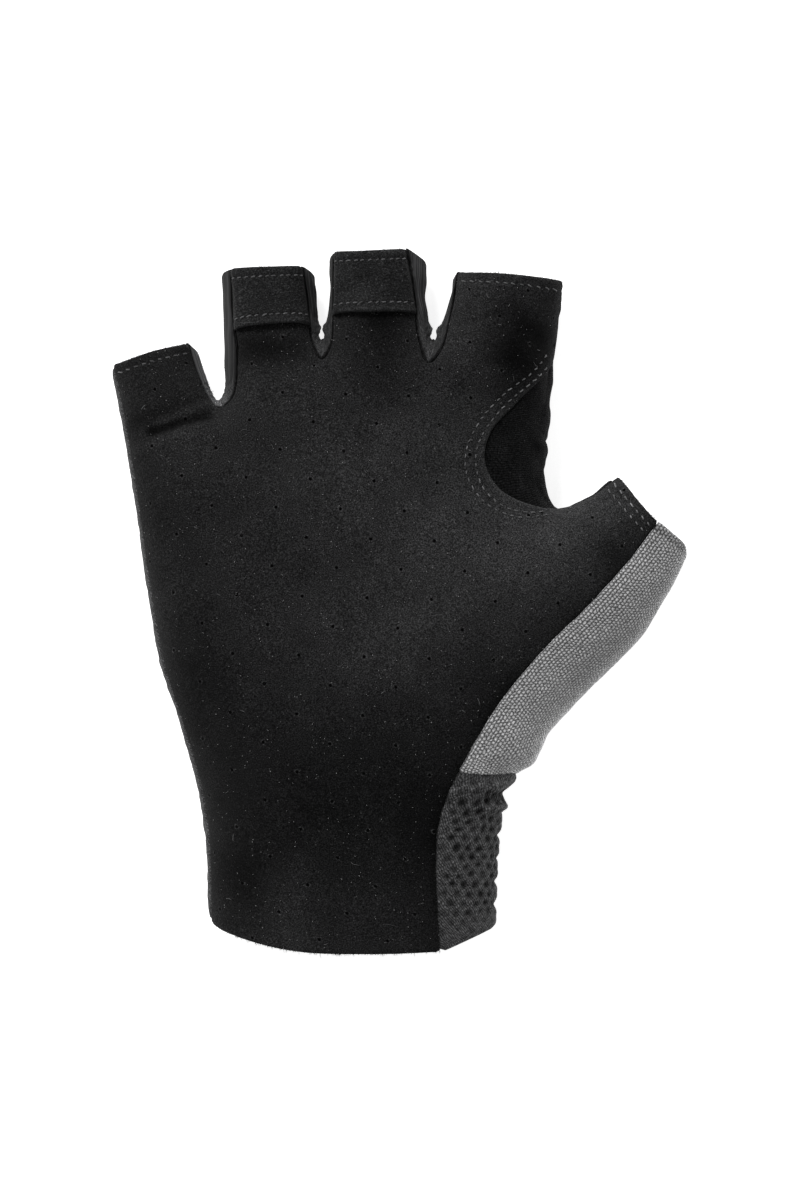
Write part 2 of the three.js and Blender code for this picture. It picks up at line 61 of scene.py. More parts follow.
# How the form is made
SIDE_LINE = 0.45  # height of the outline, as a share of the local thickness
FORM_REACH = 11.0  # spread of a row's influence
BACK_SEAM_INSET = 3.2  # how far the strips reach under the glove
RIM_REACH = 6.0  # how far the back panel's rolled rims reach under the glove
BACK_HEM_LIFT = 2.2  # the back of each opening ends this much lower than the palm
BACK_CUFF_BOW = 2.5
LEAD_OUT = 22.0  # the sides run on this far past each opening
THUMB_WAY = (0.66, 0.75)  # the way that the thumb points
FINE = 0.25  # step of the lines that the panels are cut along
PROBES = 400  # places on a curve that its length is measured by
OUTLINE_STEP = 0.4  # step of the outline that distances are measured to
GAUSS_NODES = 6
MOVES = 4  # steps in which a line is moved over the form
STEEPEST = 0.08  # least upward share of a normal that a slope is worked out from
SEAM_TUCK = 0.04  # half of the open line between two sewn panels
NUDGE = 0.3  # reach to each side by which the way of a line is found
CORNER_REACH = 4  # points each way over which a panel's corners are rounded
THREAD_SEED = 5
PARTS = 60  # parts in which many places are tested
LEAST_AREA = 1e-4  # of a triangle
SLIVER = 0.04  # share of a cell below which a triangle at the edge is left out
WEAVE = (0.8, 0.86)  # bumps of the thumb's weave: length along a row, distance of rows

# Columns: x, y, thickness, palm roll, back roll. Each row holds around its place.
FORM_ROWS = np.array([
    (-44, -78, 28.5, 25.0, 16.0),  # cuff, little finger side
    (22, -78, 28.5, 25.0, 16.0),  # cuff, thumb side
    (-11, -80, 31.0, 26.0, 18.0),  # cuff, middle
    (-11, -50, 29.0, 26.0, 17.0),  # wrist
    (-45, -20, 27.5, 20.0, 13.0),  # heel, little finger side
    (15, -20, 31.0, 22.0, 13.0),  # heel, thumb side
    (-20, 10, 27.0, 20.0, 12.0),  # palm
    (-58, 22, 22.0, 13.0, 9.0),  # side of the hand
    (10, 28, 25.5, 14.0, 10.0),  # under the index finger
    (45, 2, 24.5, 12.0, 9.5),  # root of the thumb
    (58, 20, 19.5, 11.2, 8.5),  # opening of the thumb
    (-54, 41, 19.0, 9.8, 8.0),  # root of the little finger
    (-57, 57, 15.5, 9.4, 7.2),  # opening of the little finger
    (-30, 50, 21.5, 10.2, 8.5),  # root of the ring finger
    (-31, 77, 16.5, 10.0, 7.5),  # opening of the ring finger
    (-6, 52, 22.5, 10.4, 8.5),  # root of the middle finger
    (-5, 80, 17.0, 10.4, 7.5),  # opening of the middle finger
    (22, 50, 22.5, 11.2, 9.0),  # root of the index finger
    (25, 75, 17.5, 11.4, 8.0),  # opening of the index finger
])

# Columns: x, y, radius, depth.
DENTS = (
    (30, 62, 8, 1.2),  # index finger, beside the seam
    (-30, 57, 7, 0.9),  # below the ring finger's tab
    (-6, 60, 7, 0.9),  # below the middle finger's tab
    (-2, -46, 17, 1.4),  # wrist
    (-16, 14, 22, 1.5),  # middle of the palm
)

# Columns: from x, y, to x, y, width, depth.
CREASES = (
    (-61, 38, -43, 45, 3.0, 1.5),  # root of the little finger
    (33, 14, 22, -12, 4.0, 0.8),  # root of the thumb
)


class Side(Enum):
    """A side of the glove between two openings, clockwise seen from the palm."""

    LITTLE = "little"
    LITTLE_RING = "little_ring"
    RING_MIDDLE = "ring_middle"
    MIDDLE_INDEX = "middle_index"
    INDEX_THUMB = "index_thumb"
    THUMB = "thumb"
    WRIST = "wrist"


class Opening(Enum):
    """An opening, with the points of its edge on the palm side between its corners: x, y."""

    LITTLE = ((-57.1, 57.1),)
    RING = ((-30.8, 76.3),)
    MIDDLE = ((-6.9, 80.0),)
    INDEX = ((25.3, 74.9),)
    THUMB = ((55.0, 22.4),)
    CUFF = ((-5.3, -80.6), (-21.2, -80.3), (-32.0, -78.5), (-41.0, -75.5))


# Columns: the outline's x, y and the palm panel's seam there, x, y.
SIDE_ROWS = {
    Side.LITTLE: (
        (-43.9, -73.0, -43.3, -73.9), (-44.4, -58.5, -43.7, -58.4), (-46.5, -43.1, -45.8, -42.9),
        (-50.6, -28.4, -49.9, -28.2), (-55.2, -13.7, -54.5, -13.6), (-58.4, 5.2, -57.7, 5.3),
        (-61.9, 28.2, -61.1, 28.3), (-64.9, 45.2, -64.1, 45.3), (-66.7, 53.5, -66.1, 54.1),
    ),
    Side.LITTLE_RING: (
        (-46.7, 57.4, -48.8, 59.0), (-44.9, 52.1, -46.6, 52.3), (-43.4, 48.4, -44.6, 47.4),
        (-41.9, 46.3, -41.7, 44.4), (-40.5, 48.4, -38.5, 46.6), (-40.4, 55.0, -37.3, 54.2),
        (-40.7, 65.0, -38.3, 65.0), (-41.2, 75.1, -38.9, 76.0),
    ),
    Side.RING_MIDDLE: (
        (-19.8, 75.3, -22.5, 76.5), (-19.1, 69.1, -21.3, 69.2), (-18.7, 63.4, -20.3, 60.0),
        (-18.0, 60.6, -18.1, 55.2), (-17.2, 63.2, -15.8, 58.6), (-16.3, 67.6, -15.4, 66.6),
        (-16.3, 78.8, -15.2, 79.9),
    ),
    Side.MIDDLE_INDEX: (
        (6.2, 77.9, 1.4, 80.6), (6.0, 69.6, 3.3, 69.6), (6.7, 64.1, 4.3, 60.0),
        (7.7, 60.4, 6.4, 54.3), (9.1, 62.7, 9.4, 57.6), (11.2, 68.4, 12.0, 67.4),
        (12.4, 74.6, 13.2, 75.6),
    ),
    Side.INDEX_THUMB: (
        (37.7, 72.1, 37.4, 73.3), (36.8, 65.4, 36.6, 65.4), (35.4, 55.3, 35.1, 54.0),
        (34.9, 46.1, 27.2, 45.6), (34.2, 38.1, 20.8, 38.6), (33.6, 31.4, 19.4, 32.0),
        (33.6, 26.4, 23.2, 25.2), (36.2, 21.4, 35.6, 21.2), (41.4, 22.9, 41.4, 22.5),
        (48.8, 28.0, 50.2, 28.4),
    ),
    Side.THUMB: (
        (66.7, 11.6, 59.1, 17.8), (62.0, 2.2, 51.8, 8.6), (54.8, -9.0, 42.3, -1.8),
        (45.2, -18.8, 32.7, -11.3), (37.6, -26.6, 24.5, -21.0), (34.2, -30.3, 21.2, -25.7),
        (32.5, -34.2, 18.2, -30.6), (30.8, -37.6, 15.8, -34.8), (27.0, -39.8, 13.7, -38.6),
    ),
    Side.WRIST: (
        (25.5, -40.8, 13.3, -39.3), (23.2, -49.3, 9.4, -49.3), (22.2, -59.7, 8.4, -59.0),
        (21.7, -70.0, 8.7, -70.0), (21.9, -75.3, 9.2, -80.2),
    ),
}

# The thumb panel's seam on the back, row for row with the thumb side: x, y.
THUMB_BACK_ROWS = (
    (49.3, 23.8), (42.4, 19.0), (36.6, 17.4), (31.0, 3.0), (27.4, -14.0), (26.0, -20.0), (24.4, -26.0),
    (22.9, -31.8), (21.2, -37.6),
)
THUMB_CORNER = THUMB_BACK_ROWS[2][0]  # the back panel's edge turns at this x, short of the thumb's opening


# Lines in the plane


class Curve:
    """A smooth line through the rows of a table, centripetal Catmull-Rom, even in the rows."""

    def __init__(self, points: Sequence[Sequence[float]]) -> None:
        """Works out each span's end slopes.

        Args:
            points: The rows, x and y.
        """
        p = np.asarray(points, float)
        ends = np.vstack([2 * p[0] - p[1], p, 2 * p[-1] - p[-2]])
        knot = np.linalg.norm(np.diff(ends, axis=0), axis=1)[:, None] ** 0.5
        before, a, b, after = ends[:-3], ends[1:-2], ends[2:-1], ends[3:]
        k0, k1, k2 = knot[:-2], knot[1:-1], knot[2:]
        self.points = p
        self.leave = ((a - before) / k0 - (b - before) / (k0 + k1) + (b - a) / k1) * k1
        self.arrive = ((b - a) / k1 - (after - a) / (k1 + k2) + (after - b) / k2) * k1

    def at(self, rows: Array) -> Array:
        """Places at fractional row numbers, on each span's cubic with the given end slopes.

        Args:
            rows: Row numbers, from 0 to the last row.

        Returns:
            The places, x and y.
        """
        span = np.clip(np.floor(rows).astype(int), 0, len(self.points) - 2)
        w = (rows - span)[:, None]
        a, b = self.points[span], self.points[span + 1]
        leave, arrive = self.leave[span], self.arrive[span]
        square = 3 * (b - a) - 2 * leave - arrive
        cube = 2 * (a - b) + leave + arrive
        return a + w * leave + w**2 * square + w**3 * cube


@dataclass(frozen=True)
class Cut:
    """A stretch of a curve between two of its rows."""

    curve: Curve
    first: float
    last: float

    def at(self, share: Array) -> Array:
        """Places at shares from 0 to 1 of the rows between first and last."""
        return self.curve.at(self.first + share * (self.last - self.first))

    def line(self) -> Array:
        """Places a fine step apart."""
        return self.even(FINE)[0]

    def even(self, step: float) -> tuple[Array, Array]:
        """Places about a step apart, and their shares.

        Args:
            step: Distance between neighbours.

        Returns:
            The places and the shares.
        """
        probe = np.linspace(0, 1, PROBES)
        arc = arc_lengths(self.at(probe))
        count = max(3, round(arc[-1] / step) + 1)
        share = np.interp(np.linspace(0, arc[-1], count), arc, probe)
        return self.at(share), share


def arc_lengths(line: Array) -> Array:
    """Distance along a line of points, or along each of many, up to each of them."""
    return np.insert(np.cumsum(np.linalg.norm(np.diff(line, axis=-2), axis=-1), -1), 0, 0.0, -1)


def unit(vectors: Array) -> Array:
    """Vectors at length one."""
    return vectors / np.maximum(np.linalg.norm(vectors, axis=-1, keepdims=True), 1e-12)


def right_of(way: Array) -> Array:
    """Plane vectors turned a quarter to the right."""
    return np.stack([way[..., 1], -way[..., 0]], -1)


def crossed(a: Array, b: Array) -> Array:
    """Cross product of plane vectors."""
    return a[..., 0] * b[..., 1] - a[..., 1] * b[..., 0]


def travel(line: Array, before: int = 0, after: int = -1) -> Array:
    """Unit ways of travel, from neighbour to neighbour; before and after number the points past the ends."""
    padded = np.vstack([line[before], line, line[after]])
    return unit(padded[2:] - padded[:-2])


def resampled(at: Array, arc: Array, line: Array) -> Array:
    """Places of a line at lengths of arc."""
    return np.stack([np.interp(at, arc, line[:, k]) for k in (0, 1)], 1)


def bell(values: Array, width: float) -> Array:
    """Gaussian: 1 at 0, and 1 / e at the width."""
    return np.exp(-((values / width) ** 2))


@dataclass(frozen=True)
class Foot:
    """Nearest places of a line: how far, where, the right of its travel, and the length up to there."""

    distance: Array
    point: Array
    right: Array
    arc: Array


class Spans:
    """Plane lines as many short spans, which know how the true curve bows between their ends."""

    def __init__(self, lines: Sequence[Array], closed: bool = False) -> None:
        """Cuts the lines into spans.

        Args:
            lines: Lines of points.
            closed: Whether each line runs on from its last point to its first.
        """
        if closed:
            lines = [np.vstack([line, line[:1]]) for line in lines]
        self.starts = np.vstack([line[:-1] for line in lines])
        self.spans = np.vstack([np.diff(line, axis=0) for line in lines])
        self.lengths = np.linalg.norm(self.spans, axis=1)
        self.arc = np.concatenate([arc_lengths(line)[:-1] for line in lines])
        ways = [travel(line, -2, 1) if closed else travel(line) for line in lines]
        self.way_in = np.vstack([way[:-1] for way in ways])
        self.way_out = np.vstack([way[1:] for way in ways])
        self.bow = np.arcsin(np.clip(crossed(self.way_in, self.way_out), -1, 1)) * self.lengths / 2

    def foot(self, places: Array, chunk: int = 1024) -> Foot:
        """The nearest place of the lines to each given place.

        A place's share of a span is its projection on it, held to the span. The foot is then moved
        to the right by bow * share * (1 - share), as the curve bows away from its chord.

        Args:
            places: Places, x and y.
            chunk: How many places are worked out at once.

        Returns:
            The feet.
        """
        square = self.lengths**2
        offset = (self.starts * self.spans).sum(1)
        best = np.empty(len(places), int)
        for first in range(0, len(places), chunk):
            q = places[first:first + chunk]
            along = q @ self.spans.T - offset
            share = np.clip(along / square, 0, 1)
            gap = (self.starts**2).sum(1) - 2 * q @ self.starts.T + share * (share * square - 2 * along)
            best[first:first + chunk] = gap.argmin(1)
        start, span = self.starts[best], self.spans[best]
        share = np.clip(((places - start) * span).sum(1) / square[best], 0, 1)[:, None]
        right = right_of(unit(self.way_in[best] * (1 - share) + self.way_out[best] * share))
        point = start + share * span + right * (self.bow[best][:, None] * share * (1 - share))
        distance = np.linalg.norm(places - point, axis=1)
        return Foot(distance, point, right, self.arc[best] + share[:, 0] * self.lengths[best])


class Pattern:
    """The glove's cut lines: outlines, palm seams and back seams of its sides, and its openings."""

    RUN = (Side.LITTLE, Side.LITTLE_RING, Side.RING_MIDDLE, Side.MIDDLE_INDEX, Side.INDEX_THUMB)
    HEMS = (Opening.LITTLE, Opening.RING, Opening.MIDDLE, Opening.INDEX, Opening.THUMB)
    LAST_ROW = len(SIDE_ROWS[Side.THUMB]) + len(SIDE_ROWS[Side.WRIST]) - 1

    def __init__(self) -> None:
        """Makes the curves. Thumb and wrist share one outline and one palm seam."""
        self.outline: dict[Side, Cut] = {}
        self.seam: dict[Side, Cut] = {}
        self.back: dict[Side, Cut] = {}
        for side in self.RUN:
            rows = np.array(SIDE_ROWS[side])
            last = len(rows) - 1
            inset = RIM_REACH if side is Side.LITTLE else BACK_SEAM_INSET
            self.outline[side] = Cut(Curve(rows[:, :2]), 0, last)
            self.seam[side] = Cut(Curve(rows[:, 2:]), 0, last)
            self.back[side] = Cut(Curve(self._moved_in(rows[:, :2], inset)), 0, last)
        thumb, wrist = np.array(SIDE_ROWS[Side.THUMB]), np.array(SIDE_ROWS[Side.WRIST])
        both = np.vstack([thumb, wrist])
        end = len(thumb) - 1
        for side, first, last in ((Side.THUMB, 0, end), (Side.WRIST, end + 1, self.LAST_ROW)):
            self.outline[side] = Cut(Curve(both[:, :2]), first, last)
            self.seam[side] = Cut(Curve(both[:, 2:]), first, last)
        self.back[Side.THUMB] = Cut(Curve(THUMB_BACK_ROWS), 0, end)
        self.back[Side.WRIST] = Cut(Curve(self._moved_in(wrist[:, :2], RIM_REACH)), 0, len(wrist) - 1)

    @staticmethod
    def _moved_in(rows: Array, inset: float) -> Array:
        """A side's rows moved into the glove, and drawn back at both ends.

        Args:
            rows: The outline's rows, x and y.
            inset: How far they move.

        Returns:
            The moved rows.
        """
        way = travel(rows)
        moved = rows + right_of(way) * inset
        moved[0] += way[0] * BACK_HEM_LIFT
        moved[-1] -= way[-1] * BACK_HEM_LIFT
        return moved

    def joined(self, cuts: dict[Side, Cut]) -> Cut:
        """The thumb's and the wrist's line as one."""
        return Cut(cuts[Side.THUMB].curve, 0, self.LAST_ROW)

    def corners(self, opening: Opening, cuts: dict[Side, Cut]) -> tuple[Array, Array]:
        """The places where the lines of an opening's two sides end, clockwise.

        Args:
            opening: The opening.
            cuts: The lines, by side.

        Returns:
            The two places.
        """
        if opening is Opening.CUFF:
            before, after = Side.WRIST, Side.LITTLE
        else:
            number = self.HEMS.index(opening)
            before, after = (*self.RUN, Side.THUMB)[number:number + 2]
        return cuts[before].at(np.ones(1))[0], cuts[after].at(np.zeros(1))[0]

    def hem(self, opening: Opening) -> Cut:
        """The edge of an opening on the palm side, bowed through its points."""
        start, end = self.corners(opening, self.seam)
        return Cut(Curve([start, *opening.value, end]), 0, len(opening.value) + 1)

    def back_hem(self, opening: Opening) -> Cut:
        """The edge of an opening on the back, straight, and bowed down at the cuff.

        Args:
            opening: The opening.

        Returns:
            The edge.
        """
        start, end = self.corners(opening, self.back)
        drop = BACK_CUFF_BOW if opening is Opening.CUFF else 0.0
        return Cut(Curve([start, (start + end) / 2 - (0, drop), end]), 0, 2)

    def palm_loop(self) -> Array:
        """The palm panel's edge as one closed line.

        Returns:
            The line.
        """
        parts = []
        for side, opening in zip(self.RUN, self.HEMS):
            parts += [self.seam[side].line(), self.hem(opening).line()[1:-1]]
        parts += [self.joined(self.seam).line(), self.hem(Opening.CUFF).line()[1:-1]]
        return np.vstack(parts)

    def long_outlines(self) -> list[Array]:
        """The outlines with straight leads past the openings at their ends.

        Returns:
            The outlines.
        """
        lines = []
        for side in self.RUN:
            line = self.outline[side].even(OUTLINE_STEP)[0]
            lines.append(self._with_leads(line, line[0] - line[3]))
        both = self.joined(self.outline).even(OUTLINE_STEP)[0]
        lines.append(self._with_leads(both, np.array(THUMB_WAY)))
        return lines

    @staticmethod
    def _with_leads(line: Array, way_out: Array) -> Array:
        """A line with a lead before it, the given way, and one after it, straight on."""
        last_way = line[-1] - line[-4]
        return np.vstack([line[0] + unit(way_out) * LEAD_OUT, line, line[-1] + unit(last_way) * LEAD_OUT])


class Form:
    """The glove's outer form, palm side and back."""

    def __init__(self, pattern: Pattern) -> None:
        """Takes the outlines of the pattern."""
        self.outline = Spans(pattern.long_outlines())

    @staticmethod
    def sizes(places: Array) -> tuple[Array, Array, Array]:
        """Thickness, palm roll and back roll, blended from the rows of the form by nearness.

        A row's weight is 1 / (1 + r^2 / (2 reach^2))^3, with r its distance.

        Args:
            places: Places, x and y.

        Returns:
            The three sizes at each place.
        """
        square = ((places[:, None] - FORM_ROWS[:, :2]) ** 2).sum(2) / (2 * FORM_REACH**2)
        weight = 1 / (1 + square) ** 3
        blended = weight @ FORM_ROWS[:, 2:] / weight.sum(1, keepdims=True)
        return blended[:, 0], blended[:, 1], blended[:, 2]

    @staticmethod
    def hollow(places: Array) -> Array:
        """Depth of the form's dents and creases: sums of Gaussians about points and lines.

        Args:
            places: Places, x and y.

        Returns:
            Depths.
        """
        depth = folded(places, CREASES)
        for x, y, radius, deep in DENTS:
            depth += deep * np.exp(-((places - (x, y)) ** 2).sum(1) / radius**2)
        return depth

    def inward(self, places: Array) -> tuple[Array, Array, Array]:
        """Distance from the outline, its nearest place, and the way into the glove.

        Args:
            places: Places, x and y.

        Returns:
            Distances, feet and unit ways inwards. Places past the outline count as on it.
        """
        foot = self.outline.foot(places)
        away = places - foot.point
        inside = (away * foot.right).sum(1) > 0
        distance = np.where(inside, foot.distance, 0.0)
        way = np.where((inside & (foot.distance > 0.05))[:, None], unit(away), foot.right)
        return distance, foot.point, way

    def _face(self, places: Array, palm: bool) -> tuple[Array, Array]:
        """Points and outward normals of one side.

        With t the share of the roll's width, the surface is sqrt(1 - (1 - t)^2) of its way from the
        side line to the palm's face, less the hollow, or to the table. The normal leans out by
        (1 - t) to that root.

        Args:
            places: Places, x and y.
            palm: Whether it is the palm side.

        Returns:
            Points and unit normals.
        """
        distance, foot, way = self.inward(places)
        thickness = self.sizes(places)[0]
        roll = self.sizes(foot)[1 if palm else 2]
        share = np.minimum(distance / roll, 1)
        part = np.sqrt(1 - (1 - share) ** 2)
        side = SIDE_LINE * thickness
        reach = thickness - side if palm else side
        lean = reach / roll * (1 - share)
        normals = unit(np.column_stack([-way * lean[:, None], part if palm else -part]))
        height = side + (reach - self.hollow(places)) * part if palm else side * (1 - part)
        return np.column_stack([places, height]), normals

    def palm(self, places: Array) -> tuple[Array, Array]:
        """Points and outward normals of the palm side."""
        return self._face(places, palm=True)

    def back(self, places: Array) -> tuple[Array, Array]:
        """Points and outward normals of the back."""
        return self._face(places, palm=False)

    def unrolled(self, places: Array, palm: bool = False) -> Array:
        """Places laid flat: in the roll, the length of arc takes the plan distance's place.

        The arc from the angle a of the ellipse to its flat end is the integral of
        sqrt(roll^2 sin^2 + height^2 cos^2), by Gauss quadrature.

        Args:
            places: Places of the palm side or the back, x and y.
            palm: Whether they are on the palm side.

        Returns:
            Flat places, x and y.
        """
        distance, foot, way = self.inward(places)
        roll = self.sizes(foot)[1 if palm else 2]
        height = ((1 - SIDE_LINE) if palm else SIDE_LINE) * self.sizes(places)[0]
        start = np.arccos(1 - np.minimum(distance / roll, 1))
        nodes, weights = np.polynomial.legendre.leggauss(GAUSS_NODES)
        half = (math.pi / 2 - start)[:, None] / 2
        angle = start[:, None] + half * (nodes + 1)
        speed = np.hypot(roll[:, None] * np.sin(angle), height[:, None] * np.cos(angle))
        arc = (speed * half * weights).sum(1)
        flat = foot + way * (roll - arc)[:, None]
        return np.where((distance < roll)[:, None], flat, places)

    def moved(self, line: Array, distance: float, surface: Surface, closed: bool = False) -> Array:
        """A line moved to its left by a distance that is measured on the surface.

        Each of a few steps goes d / sqrt(1 + g^2) in the plane, with g the surface's slope that way.

        Args:
            line: Points of the line in the plane.
            distance: Distance, negative to the right.
            surface: The palm side or the back.
            closed: Whether the line is a loop.

        Returns:
            The moved points.
        """
        for _ in range(MOVES):
            left = -right_of(travel(line, -1, 0) if closed else travel(line))
            normals = surface(line)[1]
            slope = (normals[:, :2] * left).sum(1) / np.maximum(np.abs(normals[:, 2]), STEEPEST)
            line = line + left * (distance / MOVES / np.sqrt(1 + slope**2))[:, None]
        return line


def along_line(places: Array, start: Sequence[float], end: Sequence[float], width: float) -> Array:
    """Gaussian of the distance from a straight line: 1 on it, and less within its width.

    Args:
        places: Places, x and y.
        start: One end of the line.
        end: The other end.
        width: Distance at which the value is 1 / e.

    Returns:
        The values.
    """
    start, span = np.asarray(start, float), np.subtract(end, start)
    share = np.clip(((places - start) @ span) / (span @ span), 0, 1)
    gap = ((places - start - share[:, None] * span) ** 2).sum(1)
    return np.exp(-gap / width**2)


def folded(places: Array, folds: Sequence[Sequence[float]]) -> Array:
    """Sum of straight folds: from x, y, to x, y, width, height."""
    return sum(rise * along_line(places, (x0, y0), (x1, y1), width) for x0, y0, x1, y1, width, rise in folds)


def smooth_step(low: float, high: float, values: Array) -> Array:
    """0 below low, 1 above high and a smooth rise between; low may be above high."""
    t = np.clip((values - low) / (high - low), 0, 1)
    return t * t * (3 - 2 * t)


class Waves:
    """A smooth uneven field: a sum of sine waves with seeded ways and phases, about -1 to 1."""

    def __init__(self, seed: int, length: float, count: int = 9) -> None:
        """Draws the waves.

        Args:
            seed: Seed of the draw.
            length: Middle wavelength in millimetres.
            count: Number of waves.
        """
        rng = np.random.default_rng(seed)
        angle = rng.uniform(0, 2 * math.pi, count)
        size = 2 * math.pi / (length * rng.uniform(0.7, 1.5, count))
        self.ways = np.stack([np.cos(angle), np.sin(angle)], 1) * size[:, None]
        self.phases = rng.uniform(0, 2 * math.pi, count)

    def at(self, places: Array) -> Array:
        """The field at places, x and y."""
        return np.sin(places[:, :2] @ self.ways.T + self.phases).sum(1) / math.sqrt(2 * len(self.phases)) / 1.4


# Cloth


@dataclass
class Cloth:
    """The outer face of a panel: points, normals, triangles, and pattern (along, across, tone)."""

    points: Array
    normals: Array
    faces: Array
    pattern: Array

    def joined(self, other: "Cloth") -> "Cloth":
        """This cloth with another, sharing the points that lie in the same place.

        Args:
            other: The other cloth.

        Returns:
            Both as one.
        """
        points = np.vstack([self.points, other.points])
        _, first, place = np.unique(np.round(points, 4), axis=0, return_index=True, return_inverse=True)
        place = place.reshape(-1)
        faces = place[np.vstack([self.faces, other.faces + len(self.points)])]
        normals = np.vstack([self.normals, other.normals])[first]
        pattern = np.vstack([self.pattern, other.pattern])[first]
        return Cloth(points[first], normals, faces, pattern)


def inside_loop(places: Array, loop: Array) -> Array:
    """Whether places lie in a closed line: an odd number of its spans cross to their left.

    Args:
        places: Places, x and y.
        loop: The closed line.

    Returns:
        Whether each place is inside.
    """
    a, b = loop, np.roll(loop, -1, axis=0)
    x, y = places[:, :1], places[:, 1:]
    crosses = (a[:, 1] > y) != (b[:, 1] > y)
    rise = np.where(b[:, 1] == a[:, 1], 1.0, b[:, 1] - a[:, 1])
    return (crosses & (x < a[:, 0] + (y - a[:, 1]) / rise * (b[:, 0] - a[:, 0]))).sum(1) % 2 == 1


@dataclass(frozen=True)
class Lattice:
    """A plane lattice fitted to a loop: places, triangles, and the loop's length up to each place."""

    places: Array
    faces: Array
    arc: Array


def fitted_lattice(loop: Array, steps: tuple[float, float], pins: Array | None = None) -> Lattice:
    """Fills a loop with an even lattice whose outer places are moved onto the loop.

    Places nearer to the loop than half a step go onto it, so no lattice edge crosses it. A cell
    keeps the triangles whose corners are on it or inside, and its diagonal runs from the corner
    that is furthest in.

    Args:
        loop: The closed line, anticlockwise or clockwise.
        steps: Lattice steps in x and y.
        pins: Places of the loop that become corners of the lattice.

    Returns:
        The lattice, with its triangles anticlockwise.
    """
    low, high = loop.min(0) - steps, loop.max(0) + steps
    low = np.floor(low / steps) * steps
    counts = np.ceil((high - low) / steps).astype(int) + 1
    index = np.arange(counts[0] * counts[1]).reshape(counts)
    places = low + np.stack(np.unravel_index(index.ravel(), counts), 1) * steps
    spans = Spans([loop], closed=True)
    foot = spans.foot(places)
    inner = np.concatenate([inside_loop(part, loop) for part in np.array_split(places, PARTS)])
    snapped = foot.distance <= 0.5 * max(steps)
    arc = foot.arc.copy()
    if pins is not None:
        nearest = ((places[None] - pins[:, None]) ** 2).sum(2).argmin(1)
        foot.point[nearest] = pins
        snapped[nearest] = True
        arc[nearest] = spans.foot(pins).arc
    places = np.where(snapped[:, None], foot.point, places)
    deep = inner & ~snapped
    kept = deep | snapped

    a, b, c, d = (part.ravel() for part in (index[:-1, :-1], index[1:, :-1], index[1:, 1:], index[:-1, 1:]))
    lean = deep[a].astype(int) + deep[c] - deep[b] - deep[d]
    even = np.linalg.norm(places[a] - places[c], axis=1) - np.linalg.norm(places[b] - places[d], axis=1)
    turn = (np.add.outer(np.arange(counts[0] - 1), np.arange(counts[1] - 1)) % 2).ravel() * 2 - 1
    rising = np.where(lean != 0, lean, np.where(np.abs(even) > 1e-6, -np.sign(even), turn)) > 0
    corners = np.stack([a, b, c, d], 1)
    whole = kept[corners].all(1)
    choices = [(whole & way, three) for way, three in
               ((rising, (0, 1, 2)), (rising, (0, 2, 3)), (~rising, (0, 1, 3)), (~rising, (1, 2, 3)))]
    for missing, three in enumerate(((1, 2, 3), (0, 2, 3), (0, 1, 3), (0, 1, 2))):
        choices.append((~kept[corners[:, missing]] & kept[corners[:, three]].all(1), three))
    faces = np.vstack([corners[chosen][:, three] for chosen, three in choices])

    # A triangle with all corners on the loop stays only if it is wide and inside.
    edge_only = ~deep[faces].any(1)
    p, q, r = (places[faces[:, k]] for k in range(3))
    area = crossed(q - p, r - p) / 2
    inside = np.ones(len(faces), bool)
    inside[edge_only] = inside_loop((p + q + r)[edge_only] / 3, loop)
    faces = faces[(area > LEAST_AREA) & (~edge_only | (inside & (area > SLIVER * steps[0] * steps[1])))]
    used, faces = np.unique(faces, return_inverse=True)
    return Lattice(places[used], faces.reshape(-1, 3), arc[used])


def open_edges(faces: Array, count: int) -> Array:
    """The directed edges that only one triangle has.

    Args:
        faces: Triangles.
        count: Number of points.

    Returns:
        Edges, from and to.
    """
    edges = np.concatenate([faces[:, [0, 1]], faces[:, [1, 2]], faces[:, [2, 0]]])
    there = edges[:, 0].astype(np.int64) * count + edges[:, 1]
    back = edges[:, 1].astype(np.int64) * count + edges[:, 0]
    return edges[~np.isin(there, back)]


